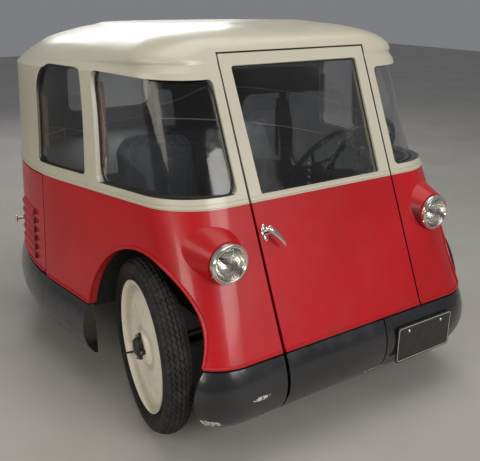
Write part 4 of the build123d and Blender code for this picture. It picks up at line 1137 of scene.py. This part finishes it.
def finishPad(piece, node):
    piece.data.materials.clear()
    piece.data.materials.append(looks["seat_vinyl"])
    piece.data.shade_smooth()
    smooth = piece.modifiers.new("Smooth", "SUBSURF")
    smooth.levels = smooth.render_levels = 1
    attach(piece, "body")
    if node:
        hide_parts(node)


seatLow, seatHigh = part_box("seat_cushion")
cushion = {"gap": 0.004, "side": 0.006, "less": (0.034, 0.034, 0.030), "round": 0.022}
cushionSize = (seatHigh.x - cushion["side"], seatHigh.y - seatLow.y, seatHigh.z - seatLow.z)
pads = []
for side, word in ((-1, "right"), (1, "left")):
    middleX = side * (cushionSize[0] / 2 + cushion["gap"])
    middle = (middleX, (seatHigh.y + seatLow.y) / 2, (seatHigh.z + seatLow.z) / 2)
    bm = bmesh.new()
    bmesh.ops.create_cube(bm, size=1.0)
    bmesh.ops.scale(bm, verts=bm.verts, vec=[size - less for size, less in zip(cushionSize, cushion["less"])])
    bmesh.ops.translate(bm, verts=bm.verts, vec=middle)
    bmesh.ops.bevel(bm, geom=bm.edges, offset=cushion["round"], segments=3, affect="EDGES", profile=0.5,
                    material=-1)
    pad = upholster(bm, f"cushion_{word}")
    finishPad(pad, "seat_cushion" if side < 0 else None)
    pads.append(pad)
print("cushions")

backLow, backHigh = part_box("seat_backs")
backrest = {"middle": 0.222, "half": 0.184, "foot": 0.012, "top": 0.014, "front": 0.016, "rear": 0.010,
            "round": 0.1}
backFoot, backTop = backLow.z + backrest["foot"], backHigh.z - backrest["top"]
outline = [(-backrest["half"], backFoot), (backrest["half"], backFoot)]
for sign, start in ((1, 0.0), (-1, pi / 2)):
    for i in range(9):
        turn = start + pi / 2 * i / 8
        outline.append((sign * (backrest["half"] - backrest["round"]) + backrest["round"] * cos(turn),
                        backTop - backrest["round"] + backrest["round"] * sin(turn)))
for side, word in ((-1, "right"), (1, "left")):
    bm = bmesh.new()
    depths = (backLow.y + backrest["front"], backHigh.y - backrest["rear"])
    skin(bm, [[(side * backrest["middle"] + x, y, z) for x, z in outline] for y in depths], caps=True)
    bmesh.ops.recalc_face_normals(bm, faces=bm.faces)
    pad = upholster(bm, f"backrest_{word}")
    finishPad(pad, "seat_backs" if side < 0 else None)
    pads.append(pad)
print("backrests")

piping = {"radius": 0.0038, "seatIn": 0.012, "seatFront": 0.016, "seatRear": 0.020, "seatDown": 0.018,
          "round": 0.03, "backFront": 0.012, "backHalf": 0.176, "backTurn": 0.09, "backWide": 0.086,
          "backTop": 0.838, "backRise": 0.085, "backUp": (0.60, 0.72, 0.83)}


def onto(pad, point):
    found = pad.closest_point_on_mesh(Vector(point))
    return Vector(found[1]) if found[0] else Vector(point)


bpy.context.view_layer.update()
bm = bmesh.new()
for pad, side in zip(pads[:2], (-1, 1)):
    middleX = side * (cushionSize[0] / 2 + cushion["gap"])
    halfX = cushionSize[0] / 2 - piping["seatIn"]
    y0, y1 = seatLow.y + piping["seatFront"], seatHigh.y - piping["seatRear"]
    half = (halfX - piping["round"], (y1 - y0) / 2 - piping["round"])
    box = roundedBox((middleX, (y0 + y1) / 2), half, piping["round"], 7)
    loop = smoothLine([(x, y, seatHigh.z - piping["seatDown"]) for x, y in box], 5, loop=True)
    tube(bm, [onto(pad, p) for p in loop], piping["radius"], 8, loop=True)
for pad, side in zip(pads[2:], (-1, 1)):
    centre, front = side * backrest["middle"], backLow.y + piping["backFront"]
    loop = [(centre - piping["backHalf"], front, z) for z in piping["backUp"]]
    for i in range(13):
        turn = pi - pi * i / 12
        wide = copysign(piping["backWide"], cos(turn)) * min(1, abs(cos(turn)) * 4)
        loop.append((centre + piping["backTurn"] * cos(turn) + wide, front,
                     piping["backTop"] + piping["backRise"] * sin(turn)))
    loop += [(centre + piping["backHalf"], front, z) for z in piping["backUp"][::-1]]
    tube(bm, [onto(pad, p) for p in smoothLine(loop, 5)], piping["radius"], 8)
settle(bm, "seat_piping", "body", "seat_vinyl")
print("piping")

floorMat = {"half": 0.40, "front": -1.03, "rear": -0.46, "foot": 0.3852, "thick": 0.005, "edge": 0.0016}
bm = bmesh.new()
corners = ((-1, "front"), (1, "front"), (1, "rear"), (-1, "rear"))
sheet = [bm.verts.new((sign * floorMat["half"], floorMat[end], floorMat["foot"])) for sign, end in corners]
grown = bmesh.ops.extrude_face_region(bm, geom=[bm.faces.new(sheet)])
raised = [v for v in grown["geom"] if isinstance(v, bmesh.types.BMVert)]
bmesh.ops.translate(bm, verts=raised, vec=(0, 0, floorMat["thick"]))
bmesh.ops.bevel(bm, geom=bm.edges[:], offset=floorMat["edge"], segments=2, affect="EDGES", profile=0.5,
                material=-1)
settle(bm, "floor_mat", "body", "floor_board", trims["floorMat"])
